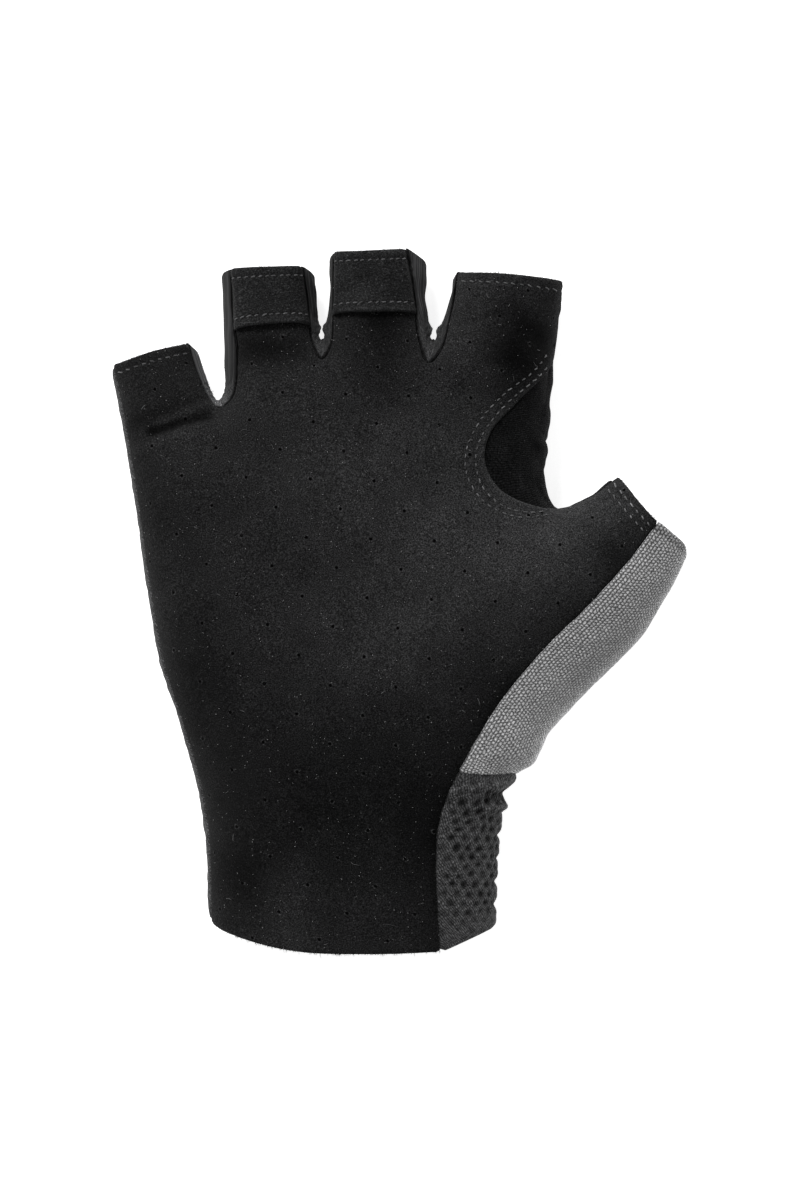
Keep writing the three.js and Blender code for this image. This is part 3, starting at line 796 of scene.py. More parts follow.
def shell(name: str, cloth: Cloth, relief: Array, wall: float | Array, rounding: int = 6) -> bpy.types.Object:
    """A closed piece of cloth: outer face, inner face and half-round edges between them.

    The outer face is the cloth plus its relief along the normals, and the inner one is the cloth less
    the wall. At an edge a half circle joins the two, bulging out across the edge by half the wall,
    and the pattern runs on round it by the length of arc.

    Args:
        name: The piece's name.
        cloth: The outer face before relief.
        relief: Height of the relief at each point.
        wall: Thickness, one or one for each point.
        rounding: Steps of the half circle.

    Returns:
        The piece.
    """
    count = len(cloth.points)
    outer = cloth.points + cloth.normals * relief[:, None]
    inner = cloth.points - cloth.normals * np.broadcast_to(wall, count)[:, None]
    edges = open_edges(cloth.faces, count)
    ahead, behind = np.full(count, -1), np.full(count, -1)
    ahead[edges[:, 0]] = edges[:, 1]
    behind[edges[:, 1]] = edges[:, 0]
    rim = np.unique(edges[:, 0])
    place = np.full(count, -1)
    place[rim] = np.arange(len(rim))
    outwards = unit(np.cross(outer[ahead[rim]] - outer[behind[rim]], cloth.normals[rim]))
    middle, half = (outer[rim] + inner[rim]) / 2, (outer[rim] - inner[rim]) / 2
    reach = np.linalg.norm(half, axis=1, keepdims=True)
    angles = np.pi * np.arange(1, rounding) / rounding
    rings = [middle + half * math.cos(a) + outwards * reach * math.sin(a) for a in angles]
    flat = cloth.pattern[:, :2]
    p, q, r = (flat[cloth.faces[:, k]] for k in range(3))
    turn = np.sign(crossed(q - p, r - p).sum())
    flat_out = np.column_stack([turn * unit(right_of(flat[ahead[rim]] - flat[behind[rim]])), np.zeros(len(rim))])
    edge_pattern = [cloth.pattern[rim] + flat_out * reach * a for a in angles]

    start, end = place[edges[:, 0]], place[edges[:, 1]]
    levels = [edges]
    levels += [np.stack([start, end], 1) + 2 * count + k * len(rim) for k in range(rounding - 1)]
    levels.append(edges + count)
    walls = [quads(upper[:, 1], upper[:, 0], *lower.T) for upper, lower in zip(levels[:-1], levels[1:])]
    faces = np.vstack([cloth.faces, cloth.faces[:, ::-1] + count, *walls])
    pattern = np.vstack([cloth.pattern, cloth.pattern, *edge_pattern])
    return piece(name, np.vstack([outer, inner, *rings]), faces, pattern)


def piece(name: str, points: Array, faces: Array, pattern: Array) -> bpy.types.Object:
    """A smooth mesh object from arrays.

    Args:
        name: The piece's name.
        points: Points in millimetres.
        faces: Triangles, anticlockwise from outside.
        pattern: Pattern coordinates of each point, in millimetres, and its tone.
            All three may hold one block of rows for each of many parts.

    Returns:
        The object, linked to the scene.
    """
    points, faces, pattern = (part.reshape(-1, 3) for part in (points, faces, pattern))
    mesh = bpy.data.meshes.new(name)
    mesh.vertices.add(len(points))
    mesh.vertices.foreach_set("co", (points * MM).astype(np.float32).ravel())
    mesh.loops.add(faces.size)
    mesh.loops.foreach_set("vertex_index", faces.astype(np.int32).ravel())
    mesh.polygons.add(len(faces))
    mesh.polygons.foreach_set("loop_start", np.arange(0, faces.size, 3, dtype=np.int32))
    mesh.polygons.foreach_set("use_smooth", np.ones(len(faces), bool))
    mesh.update(calc_edges=True)
    attribute = mesh.attributes.new("cloth", "FLOAT_VECTOR", "POINT")
    attribute.data.foreach_set("vector", pattern.astype(np.float32).ravel())
    return placed(name, mesh)


def placed(name: str, data: bpy.types.ID) -> bpy.types.Object:
    """An object with the given data, linked to the scene.

    Args:
        name: The object's name.
        data: Its mesh, light or camera.

    Returns:
        The object.
    """
    made = bpy.data.objects.new(name, data)
    bpy.context.scene.collection.objects.link(made)
    return made


@dataclass(frozen=True)
class StripLines:
    """Lines that bound a strip on the palm side, at the outline and on the back, point for point."""

    palm: Array
    side: Array
    back: Array


def turning(count: int) -> Array:
    """Shares of the way from a seam to the outline, closer where the surface turns down: sines."""
    return np.sin(np.linspace(0, math.pi / 2, count + 1))


def strip(form: Form, lines: StripLines, palm_steps: int, back_steps: int, corners: tuple[float, float]) -> Cloth:
    """A strip of cloth that wraps over the outline, from a palm seam to a back seam.

    Along is the length of the outline, and across is the length over the form from the outline.
    At an end with a corner radius R, a point at x < R from the outline is drawn back from the end
    by R - sqrt(R^2 - (R - x)^2), and less further along.

    Args:
        form: The glove's form.
        lines: The strip's lines.
        palm_steps: Steps from the palm seam to the outline.
        back_steps: Steps from the outline to the back seam.
        corners: Radii of the corners at the start and at the end of the outline.

    Returns:
        The cloth, column by column.
    """
    over = turning(palm_steps)[None, :, None]
    under = turning(back_steps)[::-1][1:][None, :, None]
    palm, side, back = (line[:, None, :] for line in (lines.palm, lines.side, lines.back))
    above, below = palm + (side - palm) * over, back + (side - back) * under
    arc = arc_lengths(lines.side)
    for radius, ahead, way in ((corners[0], arc, lines.side[2] - lines.side[0]),
                               (corners[1], arc[-1] - arc, lines.side[-3] - lines.side[-1])):
        if radius:
            fade = np.exp(-ahead / (1.6 * radius))[:, None]
            for part in (above, below):
                near = np.maximum(radius - np.linalg.norm(part - side, axis=2), 0)
                part += (fade * (radius - np.sqrt(radius**2 - near**2)))[:, :, None] * unit(way)
    columns, rows = len(lines.palm), palm_steps + back_steps + 1
    top, bottom = form.palm(above.reshape(-1, 2)), form.back(below.reshape(-1, 2))
    points, normals = (
        np.concatenate([a.reshape(columns, -1, 3), b.reshape(columns, -1, 3)], 1) for a, b in zip(top, bottom)
    )
    across = arc_lengths(points)
    across -= across[:, palm_steps:palm_steps + 1]
    along = np.broadcast_to(arc_lengths(lines.side)[:, None], (columns, rows))
    pattern = np.stack([along, across, np.ones_like(along)], 2)
    return Cloth(points.reshape(-1, 3), normals.reshape(-1, 3), grid_faces(columns, rows), pattern.reshape(-1, 3))


def quads(a: Array, b: Array, c: Array, d: Array) -> Array:
    """Two triangles for each quad with the corners a, b, c and d."""
    return np.stack([np.stack([a, b, c], -1), np.stack([a, c, d], -1)]).reshape(-1, 3)


def grid_faces(columns: int, rows: int) -> Array:
    """Triangles of a grid whose points run column by column."""
    index = np.arange(columns * rows).reshape(columns, rows)
    return quads(index[:-1, :-1], index[1:, :-1], index[1:, 1:], index[:-1, 1:])


def rounded_loop(loop: Array, reach: int) -> Array:
    """A closed line with its corners rounded: each point is the weighted mean of its neighbours.

    Args:
        loop: The closed line, in even steps.
        reach: How many neighbours each way count.

    Returns:
        The rounded line.
    """
    total = np.zeros_like(loop)
    weights = np.cos(np.linspace(-math.pi / 2, math.pi / 2, 2 * reach + 3)[1:-1])
    for k, weight in zip(range(-reach, reach + 1), weights / weights.sum()):
        total += weight * np.roll(loop, k, axis=0)
    return total


# Stitches


@dataclass(frozen=True)
class StitchRow:
    """A row of sewing thread: its line, and the surface that it lies on."""

    line: Array
    surface: Surface
    pitch: float = 1.9
    length: float = 1.2
    radius: float = 0.16
    slant: float = 0.3
    shine: float = 1.0


@dataclass(frozen=True)
class Thread:
    """Short bowed tubes of thread, all rows in one mesh."""

    name: str
    rows: Sequence[StitchRow]
    sides: int = 8
    rings: int = 6
    sink: float = 0.08
    bow: float = 0.26
    # Spreads of the stitches' places and slants, and ranges of their lengths and shine.
    place_spread: float = 0.09
    slant_spread: float = 0.12
    lengths: tuple[float, float] = (0.75, 1.1)
    shines: tuple[float, float] = (0.45, 1.25)

    def build(self) -> bpy.types.Object:
        """Makes the mesh of all the rows.

        Returns:
            The stitches.
        """
        rng = np.random.default_rng(THREAD_SEED)
        points, pattern = map(np.concatenate, zip(*(self._row(row, rng) for row in self.rows)))
        faces = repeated(tube_faces(self.rings, self.sides), points)
        return piece(self.name, points, faces, pattern)

    def _row(self, row: StitchRow, rng: np.random.Generator) -> tuple[Array, Array]:
        """Points and pattern of one row's stitches, a tube to each.

        A stitch's centreline is a straight dash on the surface, raised by bow * (1 - t^2) - sink with
        t from -1 to 1, and its radius is r * sqrt(1 - t^4).

        Args:
            row: The row.
            rng: Draws the small unevenness.

        Returns:
            Points and pattern, each with one entry a stitch.
        """
        arc = arc_lengths(row.line)
        count = max(1, int((arc[-1] - row.length) / row.pitch) + 1)
        middle = (arc[-1] - (count - 1) * row.pitch) / 2 + np.arange(count) * row.pitch
        middle = middle + rng.normal(0, self.place_spread, count)
        ends = [resampled(middle + s, arc, row.line) for s in (-NUDGE, NUDGE)]
        centre, way = (ends[0] + ends[1]) / 2, unit(ends[1] - ends[0])
        way = unit(way + right_of(way) * (row.slant + rng.normal(0, self.slant_spread, count))[:, None])
        t = np.linspace(-1, 1, self.rings + 2)
        half = row.length / 2 * rng.uniform(*self.lengths, count)
        places = centre[:, None] + way[:, None] * (t[None, :, None] * half[:, None, None])
        points, normals = row.surface(places.reshape(-1, 2))
        points, normals = points.reshape(count, -1, 3), normals.reshape(count, -1, 3)
        spine = points + normals * (self.bow * (1 - t**2) - self.sink)[None, :, None]
        radius = row.radius * np.sqrt(np.maximum(1 - t[1:-1] ** 4, 0.0))[None, :, None, None]
        tube = tubes(spine, normals, self.sides, radius, radius)
        pattern = np.tile(tube_pattern(t * row.length / 2, self.sides, row.radius), (count, 1, 1))
        pattern[:, :, 2] *= row.shine * rng.uniform(*self.shines, count)[:, None]
        return tube, pattern


def tubes(spines: Array, normals: Array, sides: int, width: Array | float, height: Array | float) -> Array:
    """Tubes on a surface, pointed at both ends, with a ring at each other point of their lines.

    A ring is cos(a) * width across the line plus sin(a) * height upwards, for even angles a.

    Args:
        spines: Lines of points, one for each tube.
        normals: The surface's normals there.
        sides: Number of sides.
        width: Half the width.
        height: Half the height.

    Returns:
        The points of each tube.
    """
    tangent = unit(np.gradient(spines, axis=1))
    across = unit(np.cross(tangent, normals))
    rise = np.cross(across, tangent)
    turn = np.linspace(0, 2 * math.pi, sides, endpoint=False)[:, None]
    ring = np.cos(turn) * across[:, 1:-1, None] * width + np.sin(turn) * rise[:, 1:-1, None] * height
    rings = (spines[:, 1:-1, None] + ring).reshape(len(spines), -1, 3)
    return np.concatenate([spines[:, :1], rings, spines[:, -1:]], 1)


def repeated(faces: Array, points: Array) -> Array:
    """The triangles of one part for each block of points."""
    return faces + (np.arange(len(points)) * points.shape[1])[:, None, None]


def tube_pattern(along: Array, sides: int, radius: float) -> Array:
    """Pattern of a tube: the given lengths along it, radius * angle round it, and a tone of 1.

    Args:
        along: Lengths up to its points and rings.
        sides: Number of sides.
        radius: Length for each radian.

    Returns:
        The pattern of each point.
    """
    angle = np.linspace(0, 2 * math.pi, sides, endpoint=False)
    around = np.pad(np.tile(angle, len(along) - 2), 1) * radius
    length = np.concatenate([along[:1], np.repeat(along[1:-1], sides), along[-1:]])
    return np.column_stack([length, around, np.ones_like(length)])


def tube_faces(rings: int, sides: int) -> Array:
    """Triangles of a tube: a fan at each end and rings between.

    Args:
        rings: Number of rings.
        sides: Number of sides.

    Returns:
        The triangles.
    """
    k = np.arange(sides)
    following = (k + 1) % sides
    last = 1 + rings * sides
    low = (1 + np.arange(rings - 1) * sides)[:, None]
    high, top = low + sides, last - sides
    return np.vstack([
        np.stack([np.zeros_like(k), 1 + k, 1 + following], 1),
        quads(low + k, high + k, high + following, low + following),
        np.stack([np.full_like(k, last), top + following, top + k], 1),
    ])


@dataclass(frozen=True)
class SeamTapes:
    """Narrow tapes that cover the sewn seams inside the glove."""

    form: Form
    pattern: Pattern
    width: float = 1.7
    thick: float = 0.9
    depth: float = 1.35
    step: float = 1.2
    past_hem: float = 0.8
    sides: int = 8
    closing_points: int = 12

    def seams(self) -> list[tuple[Array, Surface]]:
        """The seams that are covered, each with its side of the form; those on the back pass its hems.

        Returns:
            Each seam's line and surface.
        """
        seams = []
        for side in Side:
            if side is not Side.INDEX_THUMB:
                seams.append((self.pattern.seam[side].even(self.step)[0][1:-1], self.form.palm))
            if side not in (Side.LITTLE, Side.WRIST):
                line = self.pattern.back[side].even(self.step)[0]
                ends = line[[0, -1]] + unit(line[[0, -1]] - line[[1, -2]]) * self.past_hem
                seams.append((np.vstack([ends[:1], line, ends[1:]]), self.form.back))
        share = np.linspace(0, 1, self.closing_points)[:, None]
        cuts = (self.pattern.seam, self.pattern.outline, self.pattern.back)
        palm, side, back = (cut[Side.WRIST].at(np.zeros(1)) for cut in cuts)
        for edge, surface in ((palm, self.form.palm), (back, self.form.back)):
            seams.append((edge + (side - edge) * share, surface))
        return seams

    def build(self) -> bpy.types.Object:
        """Makes the tapes: flat ellipses along each seam, a depth below the form.

        Returns:
            The tapes.
        """
        points, faces, patterns, count = [], [], [], 0
        for line, surface in self.seams():
            top, normals = surface(line)
            spine, rings = top - normals * self.depth, len(line) - 2
            points.append(tubes(spine[None], normals[None], self.sides, self.width / 2, self.thick / 2)[0])
            faces.append(tube_faces(rings, self.sides) + count)
            along = np.concatenate([[0], np.arange(rings), [len(line)]]) * self.step
            patterns.append(tube_pattern(along, self.sides, 1.0))
            count += len(points[-1])
        return piece("seam_tapes", np.vstack(points), np.vstack(faces), np.vstack(patterns))


@dataclass(frozen=True)
class Fibres:
    """Fine bent hairs: roots, ways, bends and lengths, all rows in one mesh."""

    name: str
    roots: Array
    ways: Array
    bends: Array
    lengths: Array
    radius: float = 0.05
    rings: int = 4
    SKEW: ClassVar[float] = 0.37  # turns a hair's way aside, to find the way across it
    SPREAD: ClassVar[float] = 1.7  # distance between hairs in the finish

    def build(self) -> bpy.types.Object:
        """Makes the hairs, three-sided and pointed, on root + length * (t * way + t^2 * bend).

        Returns:
            The hairs.
        """
        count = len(self.roots)
        t = np.linspace(0, 1, self.rings + 1)[None, :, None]
        path = t * self.ways[:, None] + t**2 * self.bends[:, None]
        spine = self.roots[:, None] + self.lengths[:, None, None] * path
        tangent = unit(np.gradient(spine, axis=1))
        side = unit(np.cross(tangent, tangent[:, :, [1, 2, 0]] + self.SKEW))
        rise = np.cross(tangent, side)
        turn = (np.arange(3) * 2 * math.pi / 3)[:, None]
        ring = np.cos(turn) * side[:, :-1, None] + np.sin(turn) * rise[:, :-1, None]
        body = (spine[:, :-1, None] + self.radius * ring).reshape(count, -1, 3)
        points = np.concatenate([body, spine[:, -1:]], 1)
        k, following = np.arange(3), np.array([1, 2, 0])
        low, top = 3 * np.arange(self.rings - 1)[:, None], 3 * (self.rings - 1)
        near, far, past = low + k, low + following, low + 3 + following
        hair = np.vstack([
            [[0, 2, 1]],
            quads(near, far, past, near + 3),
            np.stack([top + k, top + following, np.full(3, 3 * self.rings)], 1),
        ])
        pattern = np.zeros((count, points.shape[1], 3))
        pattern[:, :, 0] = np.arange(count)[:, None] * self.SPREAD
        pattern[:, :, 2] = 1
        return piece(self.name, points, repeated(hair, points), pattern)


# Panels


@dataclass
class Panel:
    """A panel of the glove: the form that it lies on and the pattern that it is cut by."""

    form: Form
    pattern: Pattern


@dataclass
class PalmPanel(Panel):
    """The one-piece palm of perforated microsuede, with its hems and its lapped curve at the crotch."""

    wall: float = 1.2
    step: float = 0.56
    hem_depth: float = 3.3
    hem_rise: float = 0.22
    stitch_from_edge: float = 2.15
    pucker_pitch: float = 2.05
    wave_heights: tuple[float, float, float] = (0.22, 0.07, 0.025)
    # Heights and widths of the cuff's edge, the line drawn in by a hem's stitches and its puckers, and
    # the lines drawn in by the double stitching with their unevenness.
    cuff_rise: tuple[float, float] = (0.12, 2.5)
    hem_drawn: tuple[float, float] = (0.2, 0.55)
    hem_pucker: tuple[float, float] = (0.035, 2.6)
    row_drawn: tuple[float, float] = (0.24, 0.62)
    row_uneven: float = 0.05
    lap: tuple[float, float, float] = (3.0, 2.4, 0.2)  # the lapped curve's swell: place, width, height
    ripple: tuple[float, float, float] = (0.09, 5.2, 3.0)  # by the thumb's seam: height, pitch, reach
    # Rows of the double stitching round the crotch: x, y.
    outer_row: tuple = ((34.2, 56.6), (30.4, 52.3), (24.2, 47.5), (18.6, 41.5), (15.2, 34.4),
                        (15.4, 28.4), (19.8, 22.1), (27.1, 19.1), (34.0, 19.7))
    inner_row: tuple = ((34.3, 54.0), (31.7, 51.2), (23.9, 44.5), (18.6, 37.4), (17.3, 32.1),
                        (19.1, 25.6), (24.2, 21.3), (29.9, 20.2), (33.6, 20.6))
    # Folds of the cloth: from x, y, to x, y, width, height.
    folds: tuple = (
        (-57.2, 38.4, -43.6, 42.6, 1.0, -1.25), (-55.0, 40.4, -44.8, 44.7, 1.0, 0.5),
        (-60.2, 41.2, -53.8, 42.8, 1.3, -0.4), (-60.0, 35.0, -46.0, 39.6, 1.6, 0.3),
        (14.0, 63.0, 20.0, 52.0, 3.0, 0.35), (13.6, 63.4, 23.0, 66.0, 0.8, -0.4),
        (15.5, 62.6, 24.0, 64.6, 0.8, 0.2), (26.5, 66.0, 33.5, 58.0, 3.5, -0.5),
        (-36.0, 59.5, -24.0, 59.0, 2.2, -0.35), (-13.0, 64.0, 1.0, 63.5, 2.2, -0.35),
        (40.0, 24.0, 52.0, 12.0, 4.0, 0.3),
    )
    # Painted light and shade: x, y, radius along x, radius along y, gain.
    painted_light_patches: tuple = (
        (24, 16, 24, 10, 1.64), (-20, -48, 26, 26, -0.58), (28, 56, 10, 10, -0.94), (-48, -20, 10, 24, -0.48),
        (-4, -4, 24, 10, 0.42), (-4, 36, 24, 10, 0.42), (4, -48, 10, 24, -0.34), (-4, 60, 6, 14, -0.56),
        (-60, 32, 10, 24, -0.42), (48, 12, 6, 6, -0.94), (16, 16, 6, 6, -0.62), (-32, 57, 12, 4, -0.6),
        (20, -20, 10, 10, -0.34), (-24, -72, 6, 14, 0.38), (-4, -16, 14, 6, 0.32), (24, 4, 6, 6, 0.38),
        (-36, 24, 6, 6, -0.32), (-28, 48, 14, 6, 0.32), (12, 68, 6, 14, 0.52), (44, 24, 14, 6, 0.56),
        (36, 8, 14, 6, 0.34), (24, 74, 10, 5, 0.4), (-50, 34, 12, 10, 0.35), (-37, -64, 8, 10, -0.4),
        (-16, 22, 14, 8, 0.22),
    )
    waves: tuple = field(default_factory=lambda: (Waves(3, 34), Waves(4, 12), Waves(8, 4.2)))

    def __post_init__(self) -> None:
        """Works out the lines that the relief follows."""
        self.hems = {opening: Spans([self.pattern.hem(opening).line()]) for opening in Opening}
        rows = (self.outer_row, self.inner_row)
        self.row_lines = [Cut(Curve(row), 0, len(row) - 1).line() for row in rows]
        self.thumb_seam = Spans([self.pattern.joined(self.pattern.seam).line()])
        self.crotch_seam = Spans([self.pattern.seam[Side.INDEX_THUMB].line()])

    def relief(self, places: Array) -> Array:
        """Height of the cloth over the form.

        Sums slow waves, hem bands that are raised within hem_depth of their edge and drawn in along
        the stitches, the drawn-in double rows, puckers that fade away from the seams, and the folds.

        Args:
            places: Places, x and y.

        Returns:
            Heights.
        """
        height = sum(rise * waves.at(places) for rise, waves in zip(self.wave_heights, self.waves))
        for opening, hem in self.hems.items():
            edge = hem.foot(places)
            if opening is Opening.CUFF:
                rise, width = self.cuff_rise
                height += rise * bell(edge.distance, width)
                continue
            band = smooth_step(self.hem_depth + 0.7, self.hem_depth - 0.5, edge.distance)
            (drop, narrow), (rise, wide) = self.hem_drawn, self.hem_pucker
            drawn = bell(edge.distance - self.stitch_from_edge, narrow)
            pucker = np.sin(edge.arc * 2 * math.pi / self.pucker_pitch) * bell(edge.distance, wide)
            height += self.hem_rise * band - drop * drawn + rise * pucker
        drop, width = self.row_drawn
        for line in self.row_lines:
            gap = Spans([line]).foot(places)
            uneven = self.row_uneven * np.cos(gap.arc * 2 * math.pi / self.pucker_pitch)
            height -= (drop + uneven) * bell(gap.distance, width)
        place, width, rise = self.lap
        height += rise * bell(self.crotch_seam.foot(places).distance - place, width)
        seam = self.thumb_seam.foot(places)
        rise, pitch, reach = self.ripple
        ripple = np.sin(seam.arc * 2 * math.pi / pitch + 2.0 * np.sin(seam.arc / 7.0))
        height += rise * ripple * np.exp(-seam.distance / reach)
        return height + folded(places, self.folds)

    def surface(self, places: Array) -> tuple[Array, Array]:
        """Points and normals of the palm's outer face."""
        points, normals = self.form.palm(places)
        return points + normals * self.relief(places)[:, None], normals

    def tone(self, places: Array) -> Array:
        """Painted brightness, 1 on average: Gaussian patches of painted light and shade, painted shade and light on
        the folds, a painted highlight on the lapped edge at the crotch and painted shade along the thumb's seam.

        Args:
            places: Places, x and y.

        Returns:
            The brightness at each point.
        """
        tone = np.ones(len(places))
        # Gaussian patches of painted light and shade.
        for x, y, across, along, gain in self.painted_light_patches:
            tone += gain * np.exp(-(((places - (x, y)) / (across, along)) ** 2).sum(1))
        # Painted shade in the folds' hollows and painted light on their ridges.
        tone += 0.6 * folded(places, self.folds)
        # A painted highlight on the palm's lapped edge at the crotch, and painted shade along the thumb's seam.
        painted_highlight = bell(self.crotch_seam.foot(places).distance, 1.3)
        shaded = np.exp(-self.thumb_seam.foot(places).distance / 3.2)
        return np.maximum(tone + 0.5 * painted_highlight - 0.5 * shaded, 0.12)

    def build(self) -> bpy.types.Object:
        """Makes the panel.

        Returns:
            The panel.
        """
        edge = self.form.moved(self.pattern.palm_loop(), -(self.wall / 2 + SEAM_TUCK), self.form.palm, closed=True)
        loop = rounded_loop(edge, CORNER_REACH)
        lattice = fitted_lattice(loop, (self.step, self.step))
        points, normals = self.form.palm(lattice.places)
        flat = self.form.unrolled(lattice.places, palm=True)
        pattern = np.column_stack([flat, self.tone(lattice.places)])
        cloth = Cloth(points, normals, lattice.faces, pattern)
        return shell("palm_suede_panel", cloth, self.relief(lattice.places), self.wall)

    def lint(self, name: str, count: int, lengths: tuple[float, float], curl: float) -> Fibres:
        """Loose hairs that lie on the palm, seeded and spread at random.

        Args:
            name: The piece's name.
            count: Number of hairs.
            lengths: Shortest and longest.
            curl: How much they bend.

        Returns:
            The hairs.
        """
        rng = np.random.default_rng(hash_of(name))
        loop = self.pattern.palm_loop()[::4]
        places = rng.uniform(loop.min(0), loop.max(0), (3 * count, 2))
        places = places[inside_loop(places, loop)][:count]
        points, normals = self.surface(places)
        ways = unit(np.cross(normals, rng.normal(0, 1, points.shape)))
        bends = unit(np.cross(normals, ways)) * rng.normal(0, curl, (len(points), 1)) + normals * 0.12
        return Fibres(name, points + normals * 0.05, ways, bends, rng.uniform(*lengths, len(points)))

    def stitch_rows(self) -> list[StitchRow]:
        """The hem rows and the double row round the crotch.

        Returns:
            The rows.
        """
        hems = ((Opening.LITTLE, self.stitch_from_edge, 0.9), (Opening.INDEX, self.stitch_from_edge, 0.8),
                (Opening.THUMB, 1.8, 2.0), (Opening.THUMB, 3.7, 1.6))
        rows = [self._hem_row(*hem) for hem in hems]
        return rows + [StitchRow(line, self.surface, slant=0.1) for line in self.row_lines]

    def _hem_row(self, opening: Opening, depth: float, shine: float) -> StitchRow:
        """A row of stitches at a depth below an opening's edge, clear of its two ends."""
        line = self.pattern.hem(opening).line()
        return StitchRow(self.form.moved(line, -depth, self.form.palm)[2:-2], self.surface, shine=shine)


@dataclass
class PullTab:
    """A suede band across a finger, sewn at both ends, that is pulled to take the glove off."""

    palm: PalmPanel
    left_side: Side
    right_side: Side
    opening: Opening
    name: str
    lengths: tuple[float, float]
    bottom_bow: float
    wall: float = 1.1
    end_wall: float = 0.4
    seat: float = 0.12
    top_stand_off: float = 0.9
    bottom_stand_off: float = 1.45
    steps: tuple[int, int] = (84, 46)
    stitch_from_edge: float = 2.1

    def __post_init__(self) -> None:
        """Finds the seams that the tab's ends are sewn into."""
        pattern = self.palm.pattern
        left = pattern.seam[self.left_side].line()[::-1]
        right = pattern.seam[self.right_side].line()
        self.left, self.left_arc = left, arc_lengths(left)
        self.right, self.right_arc = right, arc_lengths(right)
        self.length = sum(self.lengths) / 2
        self.top_bow = self.opening.value[0][1] - (left[0, 1] + right[0, 1]) / 2
        self.waves = Waves(hash_of(self.name), 9.0)

    def place(self, across: Array, down: Array) -> Array:
        """Plan places at shares across the finger and down the tab.

        A point lies between the same shares of the two seams and is moved up by the bow there times
        4 t (1 - t) above and 1 - (2 t - 1)^4 below.

        Args:
            across: Shares across, from the left seam.
            down: Shares down, from the opening.

        Returns:
            Places, x and y.
        """
        left = resampled(down * self.lengths[0], self.left_arc, self.left)
        right = resampled(down * self.lengths[1], self.right_arc, self.right)
        places = left + (right - left) * across[:, None]
        places[:, 1] += 4 * across * (1 - across) * self.top_bow * (1 - down)
        places[:, 1] += (1 - (2 * across - 1) ** 4) * self.bottom_bow * down
        return places

    def lift(self, across: Array, down: Array) -> Array:
        """Height of the band's outer face over the palm: flush at its sewn ends, high in the middle.

        Args:
            across: Shares across.
            down: Shares down.

        Returns:
            Heights.
        """
        stand_off = self.top_stand_off + (self.bottom_stand_off - self.top_stand_off) * down
        drop = 0.45 * (1 - self.clear(across))
        return self.seat + self.thickness(across) + stand_off * 4 * across * (1 - across) - drop

    def clear(self, across: Array) -> Array:
        """0 at the band's two sewn ends, and 1 between them."""
        return smooth_step(0.0, 0.1, np.minimum(across, 1 - across))

    def thickness(self, across: Array) -> Array:
        """The band's wall, thin at its sewn ends."""
        return self.end_wall + (self.wall - self.end_wall) * self.clear(across)

    def relief(self, across: Array, down: Array) -> Array:
        """Folded, raised edges above and below, drawn in along their stitches, and slow waves.

        Args:
            across: Shares across.
            down: Shares down.

        Returns:
            Heights over the outer face.
        """
        top, bottom = down * self.length, (1 - down) * self.length
        height = 0.12 * self.waves.at(np.column_stack([across * 24, down * self.length]))
        for edge in (top, bottom):
            band = smooth_step(3.4, 2.5, edge)
            height += 0.22 * band - 0.26 * bell(edge - self.stitch_from_edge, 0.5)
        return height

    def surface(self, shares: Array) -> tuple[Array, Array]:
        """Points and normals at shares across and down.

        Args:
            shares: Shares across and down.

        Returns:
            Points and normals.
        """
        across, down = shares.T
        places = self.place(across, down)
        points, normals = self.palm.form.palm(places)
        height = self.lift(across, down) + self.relief(across, down)
        return points + normals * height[:, None], normals

    def build(self) -> bpy.types.Object:
        """Makes the band.

        Returns:
            The band.
        """
        margin = 0.4 / self.length
        across = np.linspace(0.012, 0.988, self.steps[0] + 1)
        across, down = np.meshgrid(across, np.linspace(margin, 1 - margin, self.steps[1] + 1))
        across, down = across.ravel(), down.ravel()
        places = self.place(across, down)
        points, normals = self.palm.form.palm(places)
        # The tone: a painted highlight along the folded edges above and below, and painted shade at the sewn ends,
        # where the band goes into the seams.
        sewn = smooth_step(0.045, 0.0, np.minimum(across, 1 - across))
        top, bottom = (smooth_step(1.5, 0.3, edge * self.length) for edge in (down, 1 - down))
        tone = (1.0 + 0.5 * (bottom + 0.4 * top) + 0.25 * self.waves.at(places)) * (1 - 0.85 * sewn)
        cloth = Cloth(
            points + normals * self.lift(across, down)[:, None], normals,
            grid_faces(self.steps[1] + 1, self.steps[0] + 1), np.column_stack([places, tone]),
        )
        return shell(self.name, cloth, self.relief(across, down), self.thickness(across))

    def stitch_rows(self) -> list[StitchRow]:
        """A row along each folded edge, drawn in shares across and down.

        Returns:
            The two rows.
        """
        share = self.stitch_from_edge / self.length
        looks = {"pitch": 1.42, "length": 1.0, "slant": -0.25, "shine": 0.8}
        return [StitchRow(self.edge(down), self.over, **looks) for down in (share, 1 - share)]

    def edge(self, down: float) -> Array:
        """The line across the finger at a share down the tab."""
        across = np.linspace(0.03, 0.97, 90)
        return self.place(across, np.full_like(across, down))

    def over(self, places: Array) -> tuple[Array, Array]:
        """Points and normals of the band above plan places."""
        return self.surface(self._shares(places))

    def _shares(self, places: Array) -> Array:
        """Shares across and down of plan places, from the two seams' lengths and the bow.

        Args:
            places: Places, x and y.

        Returns:
            Shares across and down.
        """
        across, down = np.full(len(places), 0.5), np.full(len(places), 0.5)
        nudge, rounds = 1e-3, 6
        for _ in range(rounds):
            here = self.place(across, down)
            by_across = (self.place(across + nudge, down) - here) / nudge
            by_down = (self.place(across, down + nudge) - here) / nudge
            gap = places - here
            det = crossed(by_across, by_down)
            across = across + crossed(gap, by_down) / det
            down = down + crossed(by_across, gap) / det
        return np.stack([across, down], 1)


